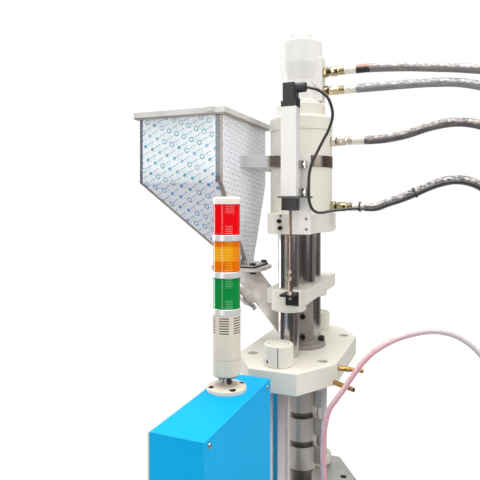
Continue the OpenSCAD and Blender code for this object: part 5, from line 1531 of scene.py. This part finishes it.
@dataclass
class Hopper:
    """The sheet hopper with its printed film, bare bends, foot, rim and hinge knuckles."""

    wall: float = 1.6 * MM
    bend: float = 3.0 * MM
    neck: float = 50 * MM
    length: float = 205 * MM
    width: float = 270 * MM
    neck_low: float = 189 * MM
    cone_low: float = 200 * MM
    box_low: float = 377 * MM
    top: float = 522 * MM
    rim: float = 3 * MM
    lap: float = 1 * MM
    strap_gap: float = 0.3 * MM
    box_shift: float = 28 * MM
    hinges: tuple[float, float] = (-60 * MM, 40 * MM)
    hinge_out: float = 7 * MM
    leaf: Triple = (20 * MM, 9 * MM, 5 * MM)
    folds: float = 50.0
    face_x: float = field(init=False)
    neck_y: float = field(init=False)
    box_y: float = field(init=False)

    def __post_init__(self) -> None:
        """Take the hopper's place from the frame."""
        self.face_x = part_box("hopper_strap")[0].x - self.strap_gap
        low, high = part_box("outlet_gasket")
        self.neck_y = (low.y + high.y) / 2
        self.box_y = self.neck_y - self.box_shift

    def level(self, height: float) -> tuple[float, float, float, float]:
        """Return the sheet's extent at a height above the head platen.

        Args:
            height: The height.

        Returns:
            The lowest and highest X, and the lowest and highest Y.
        """
        share = min(max((height - self.cone_low) / (self.box_low - self.cone_low), 0.0), 1.0)
        long = self.neck + (self.length - self.neck) * share
        wide = self.neck + (self.width - self.neck) * share
        middle = self.neck_y + (self.box_y - self.neck_y) * share
        return self.face_x - long, self.face_x, middle - wide / 2, middle + wide / 2

    def spread(self, ring: Sequence[bmesh.types.BMVert], height: float) -> None:
        """Move a ring of four corners to a height and to the sheet's extent there.

        Args:
            ring: The ring's corners.
            height: The height above the head platen.
        """
        x0, x1, y0, y1 = self.level(height)
        for vertex in ring:
            x, y = x1 if vertex.co.x > 0 else x0, y1 if vertex.co.y > 0 else y0
            vertex.co = Vector((x, y, height))

    def sheet(self) -> bmesh.types.BMesh:
        """Fold the hopper's sheet from the neck up.

        Returns:
            The folded sheet, in heights above the head platen.
        """
        part = bmesh.new()
        ring = [part.verts.new((x, y, 0)) for x, y in ((-1, -1), (1, -1), (1, 1), (-1, 1))]
        edges = [part.edges.new((ring[k], ring[(k + 1) % 4])) for k in range(4)]
        rings = [ring]
        for _ in range(3):
            ring, edges = grown(part, edges)
            rings.append(ring)
        heights = (self.neck_low, self.cone_low, self.box_low, self.top - self.rim)
        for ring, height in zip(rings, heights):
            self.spread(ring, height)
        bmesh.ops.recalc_face_normals(part, faces=part.faces)
        flat = 1 * MM
        upright = [edge for edge in part.edges
                   if abs(edge.verts[0].co.z - edge.verts[1].co.z) > flat]
        bevelled(part, upright, self.bend, 3)
        return part

    def printed(self, part: bmesh.types.BMesh) -> None:
        """Write the print map and the edge map, and choose each face's film.

        Args:
            part: The folded sheet.
        """
        prints = part.loops.layers.uv.new("Print")
        edges = part.loops.layers.uv.new("Edge")
        for face in part.faces:
            normal = face.normal
            across = abs(normal.y) > abs(normal.x)
            cone = self.cone_low < face.calc_center_median().z < self.box_low
            front = FilmSlot.CONE if cone else FilmSlot.FRONT
            face.material_index = front if across and normal.y < 0 else FilmSlot.SIDE
            for loop in face.loops:
                place = loop.vert.co
                x0, x1, y0, y1 = self.level(place.z)
                low, high, along = (x0, x1, place.x) if across else (y0, y1, place.y)
                loop[prints].uv = (along, place.z)
                loop[edges].uv = (along - low, high - along)

    def build(self) -> None:
        """Make the hopper and dress its lid and strap."""
        shape = Shape()
        part = self.sheet()
        bmesh.ops.subdivide_edges(part, edges=part.edges[:], cuts=3, use_grid_fill=True)
        self.printed(part)
        bmesh.ops.solidify(part, geom=part.faces[:], thickness=self.wall)
        shape.take(part, Matrix.Translation((0, 0, HEAD_TOP)))
        self.rims(shape)
        shape.piece("hopper_sheet", "machine", [FRONT_FILM, CONE_FILM, SIDE_FILM, RIM_SHEET],
                    ["hopper"], "hopper", sharp=self.folds)
        STRAP_METAL.on("hopper_strap")
        RUBBER.on("outlet_gasket")
        LID_SHEET.on("hopper_lid")

    def rims(self, shape: Shape) -> None:
        """Add the turned-out rim, the foot plate and the hinge knuckles.

        Args:
            shape: The hopper's shape.
        """
        top = HEAD_TOP + self.top
        x0, x1, y0, y1 = self.level(self.top)
        out, lap, slot = x1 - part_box("hopper")[0].x - self.length, self.lap, FilmSlot.RIM
        for a, b in (((x0 - out, y0 - out), (x1 + out, y0 + lap)),
                     ((x0 - out, y1 - lap), (x1 + out, y1 + out)),
                     ((x0 - out, y0), (x0 + lap, y1)), ((x1 - lap, y0), (x1 + out, y1))):
            shape.block((*a, top - self.rim), (*b, top), slot=slot)
        low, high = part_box("outlet_gasket")
        shape.block((low.x + lap, low.y + 2 * lap, high.z),
                    (high.x - lap, high.y - 2 * lap, high.z + self.rim), slot=slot)
        y = y1 + out + self.hinge_out
        long, wide, deep = self.leaf
        for hinge in self.hinges:
            x = self.face_x - self.length / 2 + hinge
            shape.turned(mm((0, 0), (4.6, 0), (5, 0.5), (5, 19.5), (4.6, 20), (2.5, 20), (2.5, 41),
                            (0, 41)), aim((x, y, top), (1, 0, 0)), 24, slot)
            shape.block((x, y - wide, top - deep), (x + long, y, top - 0.5 * MM), slot=slot)


@dataclass(frozen=True)
class SmallScrews:
    """Pan-head screws of the box, the carrier plate and the clamp flange."""

    box_face: float = 12 * MM
    box_y: tuple[float, float] = (-273.4 * MM, -520.6 * MM)
    box_z: tuple[float, float] = (1.574, 1.166)
    box_radius: float = 4.2 * MM
    front: tuple[Triple, ...] = ((-4.7 * MM, -142.5 * MM, 306 * MM),
                                 (53 * MM, -149.6 * MM, 300 * MM),
                                 (53 * MM, -149.6 * MM, 279 * MM))
    front_radius: float = 3.2 * MM

    def build(self) -> None:
        """Make the screws."""
        shape = Shape()
        for z in self.box_z:
            for y in self.box_y:
                self.screw(shape, aim((self.box_face, y, z), (1, 0, 0)), self.box_radius)
        for x, y, height in self.front:
            self.screw(shape, aim((x, y, HEAD_TOP + height), (0, -1, 0)), self.front_radius)
        shape.piece("small_screws", "machine", [SHEET, NYLON])

    @staticmethod
    def screw(shape: Shape, seat: Matrix, radius: float) -> None:
        """Add one head with a dark hexagon on top that is painted shade for its socket.

        Args:
            shape: The shape that it goes into.
            seat: Its place and direction.
            radius: The head's radius.
        """
        foot = -1 * MM
        head = ((1, 0.2), (0.85, 0.5), (0.55, 0.6), (0.5, 0.3), (0, 0.3))
        shape.turned([(0, foot), (radius, foot), *((radius * r, radius * z) for r, z in head)],
                     seat, 24)
        # Painted shade: a flat dark hexagon just above the head stands for the socket.
        shape.turned([(0, radius * 0.32), (radius * 0.5, radius * 0.32)], seat, 6, 1)


class Dressing:
    """Finishes of the CAD nodes whose own shape shows."""

    finishes: dict[Finish, tuple[str, ...]] = {
        CREAM: ("table_plate", "tie_bar_nuts", "head_platen", "cylinder_flange", "cylinder_body",
                "cylinder_cap", "crosshead"),
        OFF_WHITE: ("hydraulic_motor",),
        BLUE: ("base_cabinet",),
        SKY: ("side_panels", "control_box"),
        SLATE: ("clamp_cylinder", "pump_unit", "valve_manifold"),
        PANEL: ("control_panel",),
        PLATE_WHITE: ("carrier_plate",),
        CHROME_BAR: ("guide_rods", "piston_rod", "clamp_ram"),
        COLUMN: ("tie_bars",),
        GROUND: ("fixed_platen", "moving_platen"),
        POLISHED: ("drive_shaft", "feed_screw"),
        COVER_STEEL: ("cleanout_cover",),
        ROD_STEEL: ("sensor_rod",),
        NITRIDED: ("barrel", "nozzle"),
        SHEET: ("heater_bands", "sensor_clamps"),
        ANODISED: ("sensor_housing",),
        BLACK_OXIDE: ("black_screws", "rod_bracket"),
        BRASS: ("water_fittings",),
        CAST_GREY: ("feed_housing",),
        RUBBER: ("machine_feet",),
        NYLON: ("sensor_caps", "sensor_connector", "cable_ties", "cable_gland"),
        STOP_RED: ("stop_button",),
    }

    def build(self) -> None:
        """Give each node its finish."""
        for finish, nodes in self.finishes.items():
            finish.on(*nodes)
            LOG.info("%s on %s", finish.name, ", ".join(nodes))


@dataclass(frozen=True)
class Lamp:
    """A square soft lamp: its name, its place, the length of its sides and its watts."""

    name: str
    place: Triple
    side: float
    power: float


@dataclass(frozen=True)
class Card:
    """A curved card round the machine from one azimuth to another, which glows or is plain."""

    name: str
    start: float
    end: float
    colour: Colour
    foot: float = 0.2
    glow: float = 0.0


@dataclass(frozen=True)
class Studio:
    """Camera, floor, white surround, lamps and the dark cards that bright metal mirrors."""

    eye: Triple = (0.3287, -1.1717, 1.918)
    heading: float = 22.5
    lens: float = 38.25
    sensor: float = 36.0
    shift_y: float = -37 / 480
    sight: float = 60.0
    fill: float = 0.78
    floor_glow: float = 0.42
    floor_half: float = 20.0
    target: Triple = (0.0, 0.0, 1.8)
    lamp_rows: tuple[Lamp, ...] = (
        Lamp("side", (2.7, -0.6, 2.6), 1.6, 13.0),
        Lamp("left", (-3.0, -1.6, 2.2), 1.6, 10.0),
        Lamp("top", (0.0, -0.3, 4.4), 2.0, 76.0))
    card_rows: tuple[Card, ...] = (
        Card("card_left", -176, -118, srgb(46, 42, 48)),
        Card("card_front", -118, -93, srgb(144, 136, 134)),
        Card("card_near", -88, -28, srgb(62, 58, 58)),
        Card("card_right", -28, 2, srgb(70, 54, 54)),
        Card("card_far_right", 2, 24, srgb(26, 24, 28)),
        Card("card_back", 24, 88, srgb(128, 124, 120)),
        Card("glint_front", -107, -101, WHITE, 1.0, 9.0),
        Card("glint_left", -198, -182, WHITE, 1.0, 9.0))
    card_reach: float = 3.4
    glint_reach: float = 3.3
    card_top: float = 3.4
    card_steps: int = 12

    def build(self) -> None:
        """Set the whole studio up."""
        self.camera()
        self.world()
        self.floor()
        self.lamps()
        self.cards()
        bpy.context.scene.view_settings.view_transform = "Standard"

    def camera(self) -> None:
        """Set the camera at the photograph's view."""
        data = bpy.data.cameras.new("camera")
        data.lens = self.lens
        data.sensor_width = self.sensor
        data.shift_y = self.shift_y
        data.clip_end = self.sight
        eye = shown("camera", data)
        eye.location = self.eye
        eye.rotation_euler = (math.pi / 2, 0, math.radians(self.heading))
        bpy.context.scene.camera = eye

    def world(self) -> None:
        """Make a surround that shows white and lights plainly."""
        world = bpy.data.worlds.new("studio")
        graph = Graph(world)
        rays = graph.node("ShaderNodeLightPath")
        outputs = rays.socket.node.outputs
        glossy, clear = (
            Field(graph, outputs[f"Is {ray} Ray"]) for ray in ("Glossy", "Transmission"))
        seen = rays.most(glossy).most(clear)
        plain, white = (
            graph.node("ShaderNodeBackground", inputs={"Color": WHITE, "Strength": light})
            for light in (self.fill, 1.0))
        mixed = graph.node("ShaderNodeMixShader", inputs={0: seen, 1: plain, 2: white})
        graph.close("ShaderNodeOutputWorld", mixed)
        bpy.context.scene.world = world

    def floor(self) -> None:
        """Lay a pale floor that shows white to the camera but keeps its shadow."""
        graph = Graph.material("studio_floor")
        seen = graph.node("ShaderNodeLightPath", output="Is Camera Ray")
        tone = graph.mix(graph.noise(graph.place(), 3, 3), srgb(240, 240, 238), srgb(234, 234, 232))
        glow = graph.mix(seen, BLACK, WHITE)
        material = graph.finish(Base_Color=tone, Roughness=0.9, Emission_Color=glow,
                                Emission_Strength=self.floor_glow)
        part = bmesh.new()
        bmesh.ops.create_grid(part, x_segments=2, y_segments=2, size=self.floor_half)
        shown("studio_floor", meshed("studio_floor", part, material))

    def lamps(self) -> None:
        """Hang large soft lamps at the right, at the left and above."""
        for row in self.lamp_rows:
            data = bpy.data.lights.new(row.name, "AREA")
            data.shape = "RECTANGLE"
            data.size = data.size_y = row.side
            data.energy = row.power
            lamp = shown(row.name, data)
            lamp.location = row.place
            towards = Vector(self.target) - Vector(row.place)
            lamp.rotation_euler = towards.to_track_quat("-Z", "Y").to_euler()
            lamp.visible_camera = False

    def cards(self) -> None:
        """Stand dark and bright cards that only glossy surfaces see."""
        for row in self.card_rows:
            material = Graph.material(row.name).finish(
                Base_Color=row.colour, Roughness=1.0, Specular_IOR_Level=0.0,
                Emission_Color=row.colour, Emission_Strength=row.glow)
            reach = self.glint_reach if row.glow else self.card_reach
            part = bmesh.new()
            ends = [part.verts.new((reach, 0, height)) for height in (row.foot, self.card_top)]
            edge = part.edges.new(ends)
            bmesh.ops.rotate(part, verts=ends, cent=(0, 0, 0),
                             matrix=Matrix.Rotation(math.radians(row.start), 3, "Z"))
            bmesh.ops.spin(part, geom=[*ends, edge], cent=(0, 0, 0), axis=(0, 0, 1), dvec=(0, 0, 0),
                           angle=math.radians(row.end - row.start), steps=self.card_steps)
            card = shown(row.name, meshed(row.name, part, material))
            for kind in ("camera", "diffuse", "transmission", "shadow", "volume_scatter"):
                setattr(card, "visible_" + kind, False)


def main() -> None:
    """Build the studio, the cords and every sub-assembly in order."""
    logging.basicConfig(level=logging.INFO, format="%(name)s: %(message)s")
    for part in (Studio(), Hoses(), SignalTower(), Hopper(), SmallScrews(), Dressing()):
        part.build()
        LOG.info("%s is in place", type(part).__name__)


if __name__ == "__main__":
    main()
